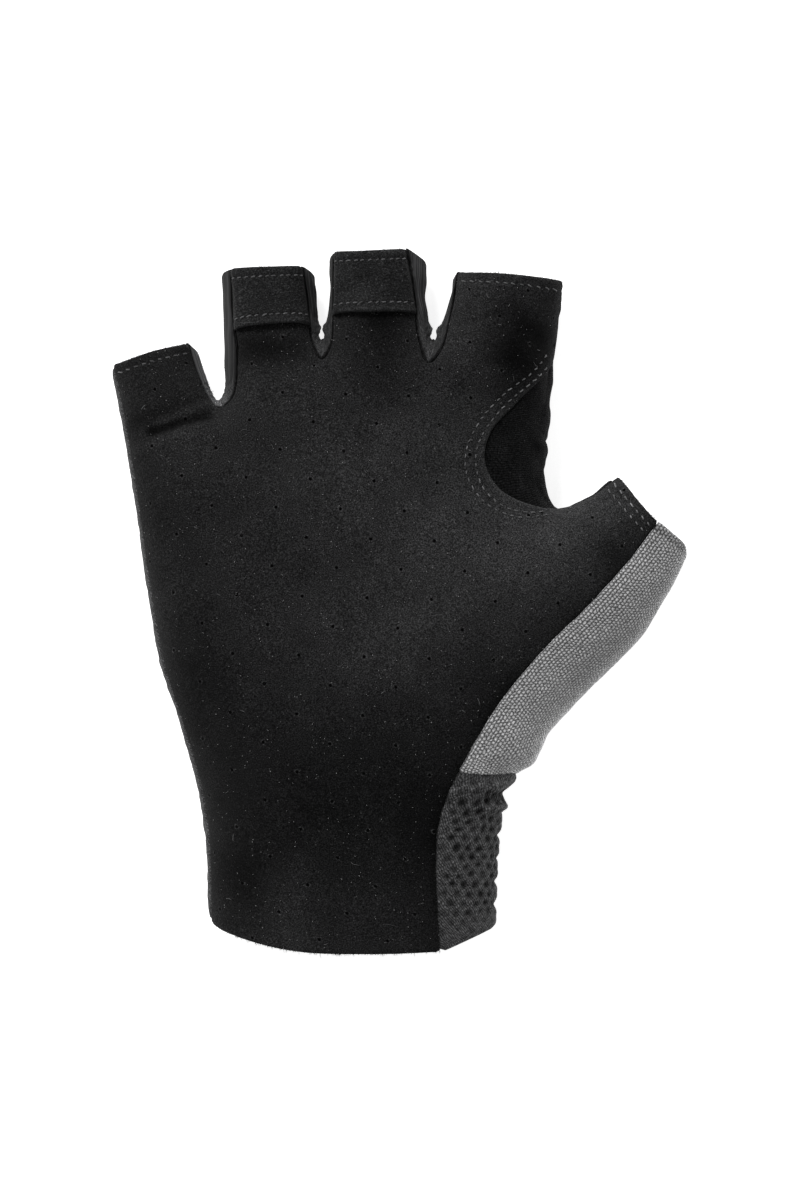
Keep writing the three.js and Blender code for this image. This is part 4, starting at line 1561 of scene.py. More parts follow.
def edge_hairs(name: str, lines: Sequence[tuple[Array, Surface]], spacing: float, length: float) -> Fibres:
    """Short hairs that stand out of cut edges.

    Args:
        name: The piece's name.
        lines: Edges, clockwise round the cloth, and their surfaces.
        spacing: Distance between hairs.
        length: Length of the longest.

    Returns:
        The hairs.
    """
    rng = np.random.default_rng(hash_of(name))
    roots, ways = [], []
    for line, surface in lines:
        arc = arc_lengths(line)
        at = np.sort(rng.uniform(0, arc[-1], round(arc[-1] / spacing)))
        places = resampled(at, arc, line)
        ahead, behind = resampled(at + NUDGE, arc, line), resampled(at - NUDGE, arc, line)
        points, normals = surface(places)
        out = np.column_stack([-right_of(unit(ahead - behind)), np.zeros(len(at))])
        roots.append(points - normals * rng.uniform(0.1, 0.8, (len(at), 1)) - out * 0.25)
        ways.append(unit(out + rng.normal(0, 0.55, out.shape)))
    roots, ways = np.vstack(roots), np.vstack(ways)
    bends = rng.normal(0, 0.4, roots.shape)
    return Fibres(name, roots, ways, bends, length * rng.uniform(0.35, 1, len(roots)), radius=0.045, rings=3)


def hash_of(name: str) -> int:
    """A small fixed number from a name, for seeds."""
    return sum(ord(letter) * (k + 1) for k, letter in enumerate(name))


@dataclass(kw_only=True)
class SewnStrip(Panel):
    """A strip of cloth sewn between the palm panel and the back panel."""

    side: Side
    name: str
    wall: float = 0.9
    step: float = 0.36
    palm_steps: int = 12
    back_steps: int = 26
    end_inset: float = 0.15
    under_palm: float = 0.0
    corners: tuple[float, float] = (0.8, 0.8)
    # At the notch: depth of the pleat, and the strength of the painted highlight on the turn.
    pleat: float = 1.2
    painted_highlight: float = 1.8

    def lines(self) -> StripLines:
        """The strip's lines, clear of both panels by half its wall.

        Returns:
            The lines.
        """
        cuts = [cuts[self.side] for cuts in (self.pattern.outline, self.pattern.seam, self.pattern.back)]
        longest = max(arc_lengths(cut.at(np.linspace(0, 1, PROBES // 2)))[-1] for cut in cuts)
        inset = self.end_inset / longest
        share = np.linspace(inset, 1 - inset, round(longest / self.step) + 1)
        away = self.wall / 2 + SEAM_TUCK
        palm = self.form.moved(self.pattern.seam[self.side].at(share), away - self.under_palm, self.form.palm)
        back = self.form.moved(self.pattern.back[self.side].at(share), away, self.form.back)
        return StripLines(palm, self.pattern.outline[self.side].at(share), back)

    def from_turn(self, cloth: Cloth) -> Array:
        """Length along the strip from the place where it turns round the notch."""
        side = self.lines().side
        return cloth.pattern[:, 0] - arc_lengths(side)[side[:, 1].argmin()]

    def from_seam(self, cloth: Cloth) -> Array:
        """Length across the strip from the palm's seam."""
        rows = cloth.pattern[:, 1].reshape(-1, self.palm_steps + self.back_steps + 1)
        return (rows - rows[:, :1]).ravel()

    def relief(self, cloth: Cloth) -> Array:
        """Height of the cloth over the form: shallow gathers and one pleat at the notch, and waves.

        Args:
            cloth: The strip before relief.

        Returns:
            Heights.
        """
        turn, across = self.from_turn(cloth), cloth.pattern[:, 1]
        near = bell(turn, 4.0)
        gathers = np.sin(turn * 2 * math.pi / 1.35 + 2.2 * np.sin(across / 1.3))
        pleat = bell(turn, 0.75) * bell(across + 0.6, 2.0)
        lobes = bell(np.abs(turn) - 2.3, 1.1) * bell(across, 2.2)
        waves = Waves(hash_of(self.name), 6.0).at(cloth.pattern)
        return near * (0.1 * gathers - 0.15) + self.pleat * (0.55 * lobes - pleat) + 0.18 * waves

    def tone(self, cloth: Cloth) -> Array:
        """Brightness: a painted highlight on the turn round the notch, painted shade in its pleat, darker along the
        seams, and painted light on the sides that face the thumb.

        Args:
            cloth: The strip.

        Returns:
            The brightness at each point.
        """
        turn, across = self.from_turn(cloth), cloth.pattern[:, 1]
        seam = bell(self.from_seam(cloth), 0.4)
        # A painted highlight on the turn round the notch.
        if self.pleat:
            pale = bell(np.abs(turn) - 2.2, 1.5) * bell(across, 2.2)
        else:
            pale = smooth_step(7.0, 1.0, turn) * (0.45 + 0.55 * bell(turn, 3.0))
        # Painted shade in the pleat; then darker along the seams, and painted light on the sides that face the
        # thumb.
        pleat = min(self.pleat, 1) * bell(turn, 0.85) * bell(across + 0.8, 1.8)
        return (1 + self.painted_highlight * pale) * (1 - 0.9 * pleat) * (1 - 0.85 * seam) * (1 + 0.45 * cloth.normals[:, 0])

    def knitted(self, cloth: Cloth) -> tuple[Array, Array]:
        """Lengths across and along the ribs, which run along the fingers and fan out at the notch.

        Args:
            cloth: The strip.

        Returns:
            Both lengths.
        """
        turn, across = self.from_turn(cloth), cloth.pattern[:, 1]
        near = bell(turn, 3.5)
        return near * turn - (1 - near) * np.tanh(turn / 2) * (across - 2), across

    def build(self) -> bpy.types.Object:
        """Makes the strip.

        Returns:
            The strip.
        """
        cloth = strip(self.form, self.lines(), self.palm_steps, self.back_steps, self.corners)
        relief = off_floor(self.relief(cloth), cloth)
        cloth.pattern = np.column_stack([*self.knitted(cloth), self.tone(cloth)])
        return shell(self.name, cloth, relief, self.wall)


def off_floor(height: Array, cloth: Cloth) -> Array:
    """A relief that is nowhere above the form where the glove rests on the floor."""
    under = smooth_step(0.0, -0.9, cloth.normals[:, 2]) * smooth_step(3.0, 0.4, cloth.points[:, 2])
    return height * (1 - under) + np.minimum(height, 0) * under


@dataclass(kw_only=True)
class ThumbPanel(SewnStrip):
    """The woven panel round the thumb's outer side and back."""

    wall: float = 1.2
    step: float = 0.33
    palm_steps: int = 56
    back_steps: int = 72
    corners: tuple[float, float] = (2.2, 0.0)
    weave_depth: float = 0.14
    hem: float = 0.95

    def relief(self, cloth: Cloth) -> Array:
        """Bumps of the weave, waves and the thumb's hem.

        Args:
            cloth: The strip.

        Returns:
            Heights.
        """
        along = cloth.pattern[:, 0]
        bumps = weave_height(*self.knitted(cloth))
        groove = bell(along - self.hem, 0.3)
        waves = 0.22 * Waves(21, 17.0).at(cloth.pattern) + 0.08 * Waves(22, 6.0).at(cloth.pattern)
        return self.weave_depth * (bumps - 0.5) - 0.25 * groove + waves

    def tone(self, cloth: Cloth) -> Array:
        """Brightness: painted shade in the hem's groove, and a painted highlight towards the outline.

        Args:
            cloth: The strip.

        Returns:
            The brightness at each point.
        """
        along, across = cloth.pattern.T[:2]
        # Painted shade in the hem's groove, and a painted highlight near the outline.
        groove = bell(along - self.hem, 0.35)
        pale = bell(across + 0.3, 4.5)
        return (1 - 0.4 * groove + 0.9 * pale) * (1 + 0.25 * smooth_step(35.0, 60.0, along))

    def knitted(self, cloth: Cloth) -> tuple[Array, Array]:
        """Unevenly along the palm's seam, whose rows of bumps are all alike, and the distance from it."""
        return cloth.pattern[:, 0] + 0.35 * Waves(23, 5.0).at(cloth.pattern), self.from_seam(cloth)


def weave_height(along: Array, across: Array) -> Array:
    """Height of the weave's bumps, 0 to 1, |cos| times |cos|, in rows that are staggered by half a bump."""
    u, v = along / WEAVE[0], across / WEAVE[1]
    return np.abs(np.cos(math.pi * (u + np.floor(v + 0.5) / 2)) * np.cos(math.pi * v)) ** 0.7


@dataclass(kw_only=True)
class CrotchPanel(SewnStrip):
    """Stretch jersey between index finger and thumb, which runs in under the palm's lapped edge."""

    wall: float = 0.8
    step: float = 0.4
    palm_steps: int = 40
    back_steps: int = 18
    under_palm: float = 2.4
    corners: tuple[float, float] = (1.2, 0.8)
    # Wrinkles across the strip: along, width, height.
    wrinkles: tuple = ((30.5, 1.6, 0.3), (35.4, 1.0, -0.5), (38.2, 1.5, 0.25), (42.4, 1.3, -0.3), (46.0, 1.6, 0.15),
                       (26.0, 2.0, -0.25), (20.5, 2.2, 0.2))

    def relief(self, cloth: Cloth) -> Array:
        """Height over the form: deep under the palm's edge, nearly flush at the outline, wrinkled.

        Args:
            cloth: The strip.

        Returns:
            Heights.
        """
        along, across = cloth.pattern.T[:2]
        width = -across.reshape(-1, self.palm_steps + self.back_steps + 1)[:, :1]
        share = np.clip(1 + across.reshape(len(width), -1) / np.maximum(width, 1e-6), 0, 1).ravel()
        depth = -2.1 * (1 - smooth_step(0.3, 0.97, share)) - 0.1
        height = depth + 0.16 * Waves(31, 8.0).at(cloth.pattern) + 0.08 * Waves(32, 2.6).at(cloth.pattern)
        for place, wide, rise in self.wrinkles:
            bent = along - place - 1.2 * np.sin(across / 4.0)
            height += rise * bell(bent, wide) * smooth_step(0.15, 0.5, share)
        return height

    def tone(self, cloth: Cloth) -> Array:
        """Brightness: a painted highlight where the strip turns over the outline, and uneven."""
        # A painted highlight where the surface faces sideways at the outline.
        rim = bell(cloth.normals[:, 2], 0.25) * smooth_step(12.0, 18.0, cloth.pattern[:, 0])
        return 0.9 + 2 * rim + 0.35 * Waves(33, 9.0).at(cloth.pattern)

    def knitted(self, cloth: Cloth) -> tuple[Array, Array]:
        """The lengths along and across the strip."""
        return cloth.pattern[:, 0], cloth.pattern[:, 1]


@dataclass
class BackPanel(Panel):
    """The dimpled spacer mesh of the back, whose two rims roll over the outline to the palm panel."""

    wall: float = 1.9
    dimple_pitch: float = 3.4
    dimple_row: float = 2.1
    dimple_depth: float = 0.62
    scallop: float = 5.3
    # Folds by the thumb's seam: from x, y, to x, y, width, height.
    folds: tuple = (
        (22.0, -42.4, 27.0, -40.2, 1.1, 1.2), (20.0, -45.6, 25.0, -44.2, 1.1, -0.9),
        (20.0, -47.6, 25.0, -47.2, 1.1, 0.8), (12.0, -43.6, 21.0, -42.0, 0.9, 0.5),
        (14.0, -46.2, 20.0, -49.0, 1.6, -0.4),
    )
    RIM_GUARD: ClassVar[int] = 6  # points next to a rim where no corner is rounded
    # Of each rim: columns to a step of the flat part, rows to the outline, rows past it.
    rim_steps: dict = field(default_factory=lambda: {Side.LITTLE: (1, 10, 28), Side.WRIST: (2, 52, 30)})
    rim_corners: dict = field(default_factory=lambda: {Side.LITTLE: (2.0, 1.4), Side.WRIST: (0.0, 0.8)})

    def dimples(self, flat: Array) -> Array:
        """Depth of the dimples, 0 to 1: raised cosines about an uneven staggered lattice, in flat places.

        Args:
            flat: Flat places, x and y.

        Returns:
            Depths.
        """
        deepest = np.zeros(len(flat))
        x, y = (flat[:, k] + 0.6 * Waves(43 + k, 7.0).at(flat) for k in (0, 1))
        row = np.floor(y / self.dimple_row)
        for line in (row, row + 1):
            dx = (x / self.dimple_pitch - (line % 2) / 2 + 0.5) % 1 - 0.5
            dy = y - line * self.dimple_row
            gap = np.minimum(np.hypot(dx * self.dimple_pitch / 1.6, dy / 1.35), 1)
            deepest = np.maximum(deepest, (1 + np.cos(math.pi * gap)) / 2)
        return deepest * (0.8 + 0.35 * Waves(45, 6.0).at(flat))

    def relief(self, cloth: Cloth) -> Array:
        """Dimples with puffed ribs between them, fading to the edges, slow waves, folds and scallops.

        Args:
            cloth: The panel, whose third pattern value is 0 at its edges and 1 inside.

        Returns:
            Heights over the form.
        """
        flat, full = cloth.pattern, cloth.pattern[:, 2]
        height = full * (0.3 - self.dimple_depth * self.dimples(flat)) + 0.16 * full * Waves(41, 5.0).at(flat)
        height += 0.2 * Waves(42, 22.0).at(flat) + folded(cloth.points[:, :2], self.folds)
        phase = (cloth.points[:, 1] + 48.6) * math.pi / self.scallop
        bumps = 0.75 * np.abs(np.sin(phase)) + 0.2 * np.abs(np.sin(2 * phase)) - 0.5
        return off_floor(height + self.at_wrist_edge(cloth) * bumps, cloth)

    @staticmethod
    def at_wrist_edge(cloth: Cloth) -> Array:
        """1 at the outline on the wrist's thumb side, and less on the faces above and below it."""
        on_wrist = smooth_step(8.0, 14.0, cloth.points[:, 0]) * smooth_step(-43.0, -47.0, cloth.points[:, 1])
        return on_wrist * bell(cloth.normals[:, 2], 0.35)

    def tone(self, cloth: Cloth) -> Array:
        """Brightness: painted shade in the dimples and in the hollows of folds, painted light on the folds' ridges,
        and a painted highlight on the wrist's outline where it turns.

        Args:
            cloth: The panel.

        Returns:
            The brightness at each point.
        """
        # Painted shade in the dimples.
        tone = 1.75 - 2.0 * self.dimples(cloth.pattern) ** 0.8 * (0.55 + 0.45 * cloth.pattern[:, 2])
        # Painted shade in the folds' hollows and painted light on their ridges.
        tone += 0.8 * folded(cloth.points[:, :2], self.folds) * (cloth.normals[:, 2] > -0.3)
        # A painted highlight on the wrist's outline.
        return np.maximum(tone, 0.12) * (1 + 1.5 * self.at_wrist_edge(cloth) ** 3)

    def loop(self) -> tuple[Array, Array, Array]:
        """The flat part's edge.

        Returns:
            Its points, the rim that each lies on (0 none, 1 little, 2 wrist), and its share of that side.
        """
        back, half = self.form.back, self.wall / 2
        clear = round(half / FINE)
        parts = [(self.form.moved(self.pattern.back_hem(Opening.CUFF).line()[1:-1], -half, back), 0, None)]
        for side in (*self.pattern.RUN, Side.THUMB):
            line, share = self.pattern.back[side].even(FINE)
            if side is Side.LITTLE:
                parts.append((line[clear:-clear], 1, share[clear:-clear]))
            else:
                line = self.form.moved(line, -(half + SEAM_TUCK), back)
                if side in (Side.INDEX_THUMB, Side.THUMB):
                    line = line[line[:, 0] < THUMB_CORNER]
                parts.append((line, 0, None))
            if side not in (Side.INDEX_THUMB, Side.THUMB):
                opening = self.pattern.HEMS[self.pattern.RUN.index(side)]
                hem = self.pattern.back_hem(opening).line()[1:-1]
                parts.append((self.form.moved(hem, -half, back), 0, None))
        line, share = self.pattern.back[Side.WRIST].even(FINE)
        parts.append((line[:-clear], 2, share[:-clear]))
        rims = np.concatenate([np.full(len(line), rim) for line, rim, _ in parts])
        shares = np.concatenate([np.zeros(len(line)) if share is None else share for line, _, share in parts])
        return np.vstack([line for line, _, _ in parts]), rims, shares

    def inside_hems(self, side: Side, cut: Cut, share: Array) -> Array:
        """A rim's line, half the wall inside each hem that it ends at.

        Args:
            side: The rim's side.
            cut: The line up to the hems.
            share: Shares along the rim, evenly stretched over what is left of the line.

        Returns:
            Its places, x and y.
        """
        places, shares = cut.even(FINE)
        arc = arc_lengths(places)
        start = self.wall / 2 if side is Side.LITTLE else 0.0
        first, last = np.interp([start, arc[-1] - self.wall / 2], arc, shares)
        return cut.at(first + (last - first) * (share - share[0]) / (share[-1] - share[0]))

    def rim(self, side: Side, share: Array, seam: Array) -> Cloth:
        """A rolled rim from the palm seam over the outline to the flat part, as fine as it or twice that.

        Args:
            side: The rim's side.
            share: Shares along the side of the flat part's edge points.
            seam: Those points, x and y.

        Returns:
            The cloth, which ends in those points.
        """
        finer, palm_steps, back_steps = self.rim_steps[side]
        fine = np.interp(np.arange(finer * (len(share) - 1) + 1) / finer, np.arange(len(share)), share)
        cuts = (self.pattern.seam[side], self.pattern.outline[side])
        seam_line, outline = (self.inside_hems(side, cut, fine) for cut in cuts)
        palm = self.form.moved(seam_line, self.wall / 2 + SEAM_TUCK, self.form.palm)
        back = resampled(fine, share, seam)
        lines = StripLines(palm, outline, back)
        cloth = strip(self.form, lines, palm_steps, back_steps, self.rim_corners[side])
        rows = palm_steps + back_steps + 1
        grid = cloth.points.reshape(len(fine), rows, 3)
        out = arc_lengths(grid[:, ::-1])[:, ::-1]
        outwards = 1 if side is Side.WRIST else -1
        flat = self.form.unrolled(back)[:, None]
        x, y = flat[:, :, 0] + outwards * out, flat[:, :, 1] + grid[:, :, 1] - back[:, None, 1]
        ends = np.minimum(np.arange(len(fine)), np.arange(len(fine))[::-1])[:, None] * (0.6 / finer)
        fade = (0.3, 2.2) if side is Side.WRIST else (2.5, 5.0)
        full = smooth_step(*fade, out[:, :1] - out) * smooth_step(0.3, 2.2, ends)
        pattern = np.stack([x, y, full], 2).reshape(-1, 3)
        faces = cloth.faces
        if finer == 2:
            index = np.arange(len(fine) * rows).reshape(len(fine), rows)
            near, last = index[:, -2], index[::2, -1]
            faces = np.vstack([
                faces[(faces % rows < rows - 1).all(1)],
                np.stack([near[:-2:2], near[1::2], last[:-1]], 1),
                np.stack([near[1::2], near[2::2], last[1:]], 1),
                np.stack([near[1::2], last[1:], last[:-1]], 1),
            ])
        used, faces = np.unique(faces, return_inverse=True)
        return Cloth(cloth.points[used], cloth.normals[used], faces.reshape(-1, 3), pattern[used])

    def build(self) -> bpy.types.Object:
        """Makes the panel: the flat part as a lattice that keeps step with the dimples, and two rims.

        Returns:
            The panel.
        """
        loop, rims, shares = self.loop()
        smooth = rounded_loop(loop, CORNER_REACH)
        spread = np.ones(2 * self.RIM_GUARD + 1)
        near_rim = np.convolve(np.pad(rims > 0, self.RIM_GUARD, mode="wrap"), spread, "valid") > 0
        smooth[near_rim] = loop[near_rim]
        ends = np.flatnonzero((rims > 0) & ((np.roll(rims, 1) != rims) | (np.roll(rims, -1) != rims)))
        steps = (self.dimple_pitch / 5, self.dimple_row / 3)
        lattice = fitted_lattice(smooth, steps, pins=smooth[ends])
        points, normals = self.form.back(lattice.places)
        turns = np.flatnonzero(np.diff(rims)) + 1
        parts = zip(np.split(smooth, turns), np.split(rims, turns))
        sewn = Spans([part for part, rim in parts if not rim[0] and len(part) > 3])
        full = smooth_step(0.3, 2.2, sewn.foot(lattice.places).distance)
        pattern = np.column_stack([self.form.unrolled(lattice.places), full])
        cloth = Cloth(points, normals, lattice.faces[:, ::-1], pattern)
        arc = arc_lengths(np.vstack([smooth, smooth[:1]]))[:-1]
        boundary = np.unique(open_edges(lattice.faces, len(points)))
        for rim, side in ((1, Side.LITTLE), (2, Side.WRIST)):
            own = np.flatnonzero(rims == rim)
            low, high = arc[own[0]] - 1e-6, arc[own[-1]] + 1e-6
            on_rim = boundary[(lattice.arc[boundary] >= low) & (lattice.arc[boundary] <= high)]
            on_rim = on_rim[np.argsort(lattice.arc[on_rim])]
            share = np.interp(lattice.arc[on_rim], arc[own], shares[own])
            cloth = cloth.joined(self.rim(side, share, lattice.places[on_rim]))
        relief = self.relief(cloth)
        cloth.pattern[:, 2] = self.tone(cloth)
        return shell("back_mesh_panel", cloth, relief, self.wall)


# Shaders


class Graph:
    """A material's node tree, with one method that makes its nodes."""

    def __init__(self, name: str) -> None:
        """Makes an empty material.

        Args:
            name: The material's name.
        """
        self.material = bpy.data.materials.new(name)
        self.material.use_nodes = True
        self.tree = self.material.node_tree
        self.tree.nodes.clear()

    def node(self, kind: str, settings: dict | None = None, output: int | str = 0, **inputs: object) -> "Signal":
        """Makes a node.

        Args:
            kind: The node's type.
            settings: Its settings, set before its sockets.
            output: The output that is returned.
            inputs: Values or signals by socket name with _ for a space, or i0, i1 by number.

        Returns:
            The output as a signal.
        """
        made = self.tree.nodes.new(kind)
        for key, value in (settings or {}).items():
            setattr(made, key, value)
        for key, value in inputs.items():
            socket = made.inputs[int(key[1:]) if key[1:].isdigit() else key.replace("_", " ")]
            if isinstance(value, Signal):
                self.tree.links.new(value.socket, socket)
            elif value is not None:
                socket.default_value = value
        return Signal(self, made.outputs[output])

    def cloth(self) -> tuple["Signal", "Signal", "Signal", "Signal"]:
        """The pattern coordinates of the cloth: the vector, along, across and tone.

        Returns:
            The four signals.
        """
        vector = self.node("ShaderNodeAttribute", {"attribute_name": "cloth"}, output="Vector")
        along = self.node("ShaderNodeSeparateXYZ", i0=vector)
        return vector, along, along.beside(1), along.beside(2)

    def noise(self, vector: "Signal", scale: float, detail: float = 2.0, roughness: float = 0.5) -> "Signal":
        """Noise from 0 to 1, with features of 1 / scale."""
        inputs = {"Vector": vector, "Scale": scale, "Detail": detail, "Roughness": roughness}
        return self.node("ShaderNodeTexNoise", {"noise_dimensions": "3D"}, **inputs)

    def coloured(self, light: "Signal", tint: Colour, height: "Signal", gloss: dict) -> bpy.types.Material:
        """Ends the material in the tint times a brightness, with a relief.

        Args:
            light: The brightness.
            tint: The colour.
            height: The relief in millimetres.
            gloss: Values of the shader's other sockets, by socket name.

        Returns:
            The material.
        """
        settings = {"data_type": "RGBA", "blend_type": "MIX", "clamp_factor": False}
        colour = self.node("ShaderNodeMix", settings, 2, i0=light, i6=(0, 0, 0, 1), i7=(*tint, 1))
        return self.shaded(gloss, Base_Color=colour, Normal=self.node("ShaderNodeBump", Height=height, Distance=MM))

    def shaded(self, values: dict[str, object], **links: "Signal") -> bpy.types.Material:
        """Ends the material in a Principled shader.

        Args:
            values: Values of its sockets, by name.
            links: Signals of its sockets, by name with _ for a space.

        Returns:
            The material.
        """
        shader = self.node("ShaderNodeBsdfPrincipled", **links)
        for name, value in values.items():
            shader.socket.node.inputs[name].default_value = value
        end = self.tree.nodes.new("ShaderNodeOutputMaterial")
        self.tree.links.new(shader.socket, end.inputs["Surface"])
        return self.material


def math_node(operation: str, reflected: bool = False) -> Callable[..., "Signal"]:
    """An operation on signals, as a method that adds a Math node.

    Args:
        operation: The node's operation.
        reflected: Whether the signal is the second value.

    Returns:
        The method.
    """

    def method(self: "Signal", *others: object) -> "Signal":
        """The result for this signal and any other value."""
        inputs = {f"i{k}": value for k, value in enumerate((*others, self) if reflected else (self, *others))}
        return self.graph.node("ShaderNodeMath", {"operation": operation}, **inputs)

    return method


@dataclass(frozen=True)
class Signal:
    """One output of a node, used in ordinary arithmetic: each operation adds a Math node."""

    graph: Graph
    socket: bpy.types.NodeSocket

    def beside(self, output: int) -> "Signal":
        """Another output of the same node."""
        return Signal(self.graph, self.socket.node.outputs[output])

    __add__ = __radd__ = math_node("ADD")
    __mul__ = __rmul__ = math_node("MULTIPLY")
    __sub__, __rsub__ = math_node("SUBTRACT"), math_node("SUBTRACT", reflected=True)
    __truediv__, __pow__ = math_node("DIVIDE"), math_node("POWER")
    cos, absolute, fraction, root = (math_node(name) for name in ("COSINE", "ABSOLUTE", "FRACT", "SQRT"))

    def step(self, low: float, high: float) -> "Signal":
        """A smooth step from 0 at low to 1 at high; low may be above high.

        Args:
            low: Where the step starts.
            high: Where it ends.

        Returns:
            The step.
        """
        settings = {"interpolation_type": "SMOOTHSTEP", "clamp": True}
        ends = (low, high, 0.0, 1.0) if low < high else (high, low, 1.0, 0.0)
        sockets = {f"i{k + 1}": value for k, value in enumerate(ends)}
        return self.graph.node("ShaderNodeMapRange", settings, i0=self, **sockets)


# Finishes


MATT = {"Roughness": 0.9, "Specular IOR Level": 0.12, "Sheen Weight": 0.06, "Sheen Roughness": 0.45}
SUEDE_GLOSS = {"Roughness": 0.95, "Specular IOR Level": 0.04, "Sheen Weight": 0.04, "Sheen Roughness": 0.4}


@dataclass(frozen=True)
class Suede:
    """Microsuede: a short matt nap with grain and mottling, and a slanting lattice of small holes."""

    name: str
    tint: Colour = (0.0154, 0.0154, 0.0157)
    perforated: bool = True
    dust: float = 2.0
    hole_radius: float = 0.34
    # Steps of the hole lattice in millimetres, and the lattice shares as polynomials of the place in
    # units of hole_unit: constant, x, y, x^2, xy, y^2, y^3.
    first_step: tuple[float, float] = (7.0, -6.85)
    second_step: tuple[float, float] = (-7.5, -6.45)
    hole_unit: float = 50.0
    first_share: tuple = (2.538, 3.302, -3.89, 0.051, 0.08, -0.086, 0.05)
    second_share: tuple = (1.516, -3.501, -3.535, -0.056, -0.111, 0.078, -0.166)

    def hole_gap(self, along: Signal, across: Signal) -> Signal:
        """Distance from the nearest hole: each share's distance from a whole number, along its step.

        Args:
            along: Flat place along x.
            across: Flat place along y.

        Returns:
            Millimetres.
        """
        (ax, ay), (bx, by) = self.first_step, self.second_step
        x, y = along / self.hole_unit, across / self.hole_unit
        rests = []
        for c in (self.first_share, self.second_share):
            share = x * (x * c[3] + y * c[4] + c[1]) + y * (y * (y * c[6] + c[5]) + c[2]) + (c[0] + 0.5)
            rests.append(share.fraction() - 0.5)
        dx, dy = rests[0] * ax + rests[1] * bx, rests[0] * ay + rests[1] * by
        return (dx * dx + dy * dy).root()

    def material(self) -> bpy.types.Material:
        """Makes the material.

        Returns:
            The material.
        """
        graph = Graph(self.name)
        vector, along, across, tone = graph.cloth()
        grain = graph.noise(vector, 3.4, 2, 0.7)
        clumps = graph.noise(vector, 1.1, 3, 0.6)
        mottle = graph.noise(vector, 0.12, 4, 0.6)
        specks = graph.noise(vector, 2.6, 2, 0.5).step(0.67, 0.74)
        light = tone * (1 + (mottle - 0.5) * 0.9) * (1 + (clumps - 0.5) * 0.6) * (grain * 2) ** 3.3
        height = grain * 0.3 + clumps * 0.15
        if self.perforated:
            gap = self.hole_gap(along, across) + (graph.noise(vector, 2.4, 1) - 0.5) * 0.26
            hole = gap.step(self.hole_radius + 0.12, self.hole_radius - 0.06)
            ring = gap.step(self.hole_radius + 0.5, self.hole_radius + 0.12) - hole
            crumbs = graph.noise(vector, 2.6, 1).step(0.46, 0.62) * ring
            # The holes are painted nearly black, painted shade inside each perforation; the crumbs are pale fibres
            # round them.
            light = light * (1 - 0.98 * hole) + crumbs * 2.0
            height = height - 0.6 * hole + 0.1 * ring
        light = light + specks * self.dust
        return graph.coloured(light, self.tint, height, SUEDE_GLOSS)


@dataclass(frozen=True)
class SpacerMesh:
    """Knitted spacer mesh: fine slanting lines of loops, with a fluff between them."""

    name: str
    tint: Colour = (0.05, 0.05, 0.051)
    loop: float = 0.54

    def material(self) -> bpy.types.Material:
        """Makes the material.

        Returns:
            The material.
        """
        graph = Graph(self.name)
        vector, along, across, tone = graph.cloth()
        sway = (graph.noise(vector, 0.6, 3) - 0.5) * 1.3
        lines = ((along * 0.77 - across * 0.64 + sway) * (math.pi / self.loop)).cos().absolute()
        beads = ((along * 0.5 + across * 0.87 - sway) * (math.pi / (1.5 * self.loop))).cos().absolute()
        fluff = graph.noise(vector, 1.9, 3, 0.7)
        light = tone * (0.3 + 0.9 * lines**1.5 * (0.5 + 0.7 * beads)) * (fluff * 2) ** 2.6
        height = lines * 0.26 + beads * 0.08 + fluff * 0.25
        return graph.coloured(light, self.tint, height, MATT)


@dataclass(frozen=True)
class Weave:
    """Plain weave: pale bumps in staggered rows with dark gaps, less crisp away from the palm's seam."""

    name: str
    tint: Colour = (0.38, 0.38, 0.383)

    def material(self) -> bpy.types.Material:
        """Makes the material.

        Returns:
            The material.
        """
        graph = Graph(self.name)
        vector, along, across, tone = graph.cloth()
        wander = graph.noise(vector, 0.9, 3, 0.7)
        u = (along + (wander - 0.5) * 1.3) / WEAVE[0]
        v = (across + (wander - 0.5) * 0.8) / WEAVE[1]
        row = v + 0.5 - (v + 0.5).fraction()
        bumps = (((u + row * 0.5) * math.pi).cos() * (v * math.pi).cos()).absolute() ** 0.65
        uneven = graph.noise(vector, 1.9, 3, 0.7)
        broad = graph.noise(vector, 0.12, 2)
        crisp = 0.62 + 0.38 * across.step(13.0, 5.0)
        weave = 0.72 - 0.66 * crisp + (0.3 + 1.25 * crisp) * bumps
        light = tone * weave * (1 + (uneven - 0.5) * 2.2) * (1 + (broad - 0.5) * 0.3)
        height = bumps * 0.4 + uneven * 0.25
        return graph.coloured(light, self.tint, height, MATT)


@dataclass(frozen=True)
class Stretch:
    """Stretch jersey: fine ribs and faint creases."""

    name: str
    tint: Colour = (0.0066, 0.0066, 0.0068)
    rib: float = 0.6
    rib_height: float = 0.08

    def material(self) -> bpy.types.Material:
        """Makes the material.

        Returns:
            The material.
        """
        graph = Graph(self.name)
        vector, along, across, tone = graph.cloth()
        sway = (graph.noise(vector, 0.5, 2) - 0.5) * 0.7
        ribs = (((along + sway) * (2 * math.pi / self.rib)).cos() + 1) * 0.5
        stitches = ((across * (2 * math.pi / (0.8 * self.rib))).cos() + 1) * 0.5
        fluff = graph.noise(vector, 2.2, 3, 0.6)
        broad = graph.noise(vector, 0.22, 3)
        light = tone * (0.55 + 0.8 * ribs) * (0.85 + 0.3 * stitches) * (fluff * 2) ** 3 * (0.5 + broad)
        height = ribs * self.rib_height + stitches * 0.03 + fluff * 0.14 + broad * 0.5
        return graph.coloured(light, self.tint, height, SUEDE_GLOSS)


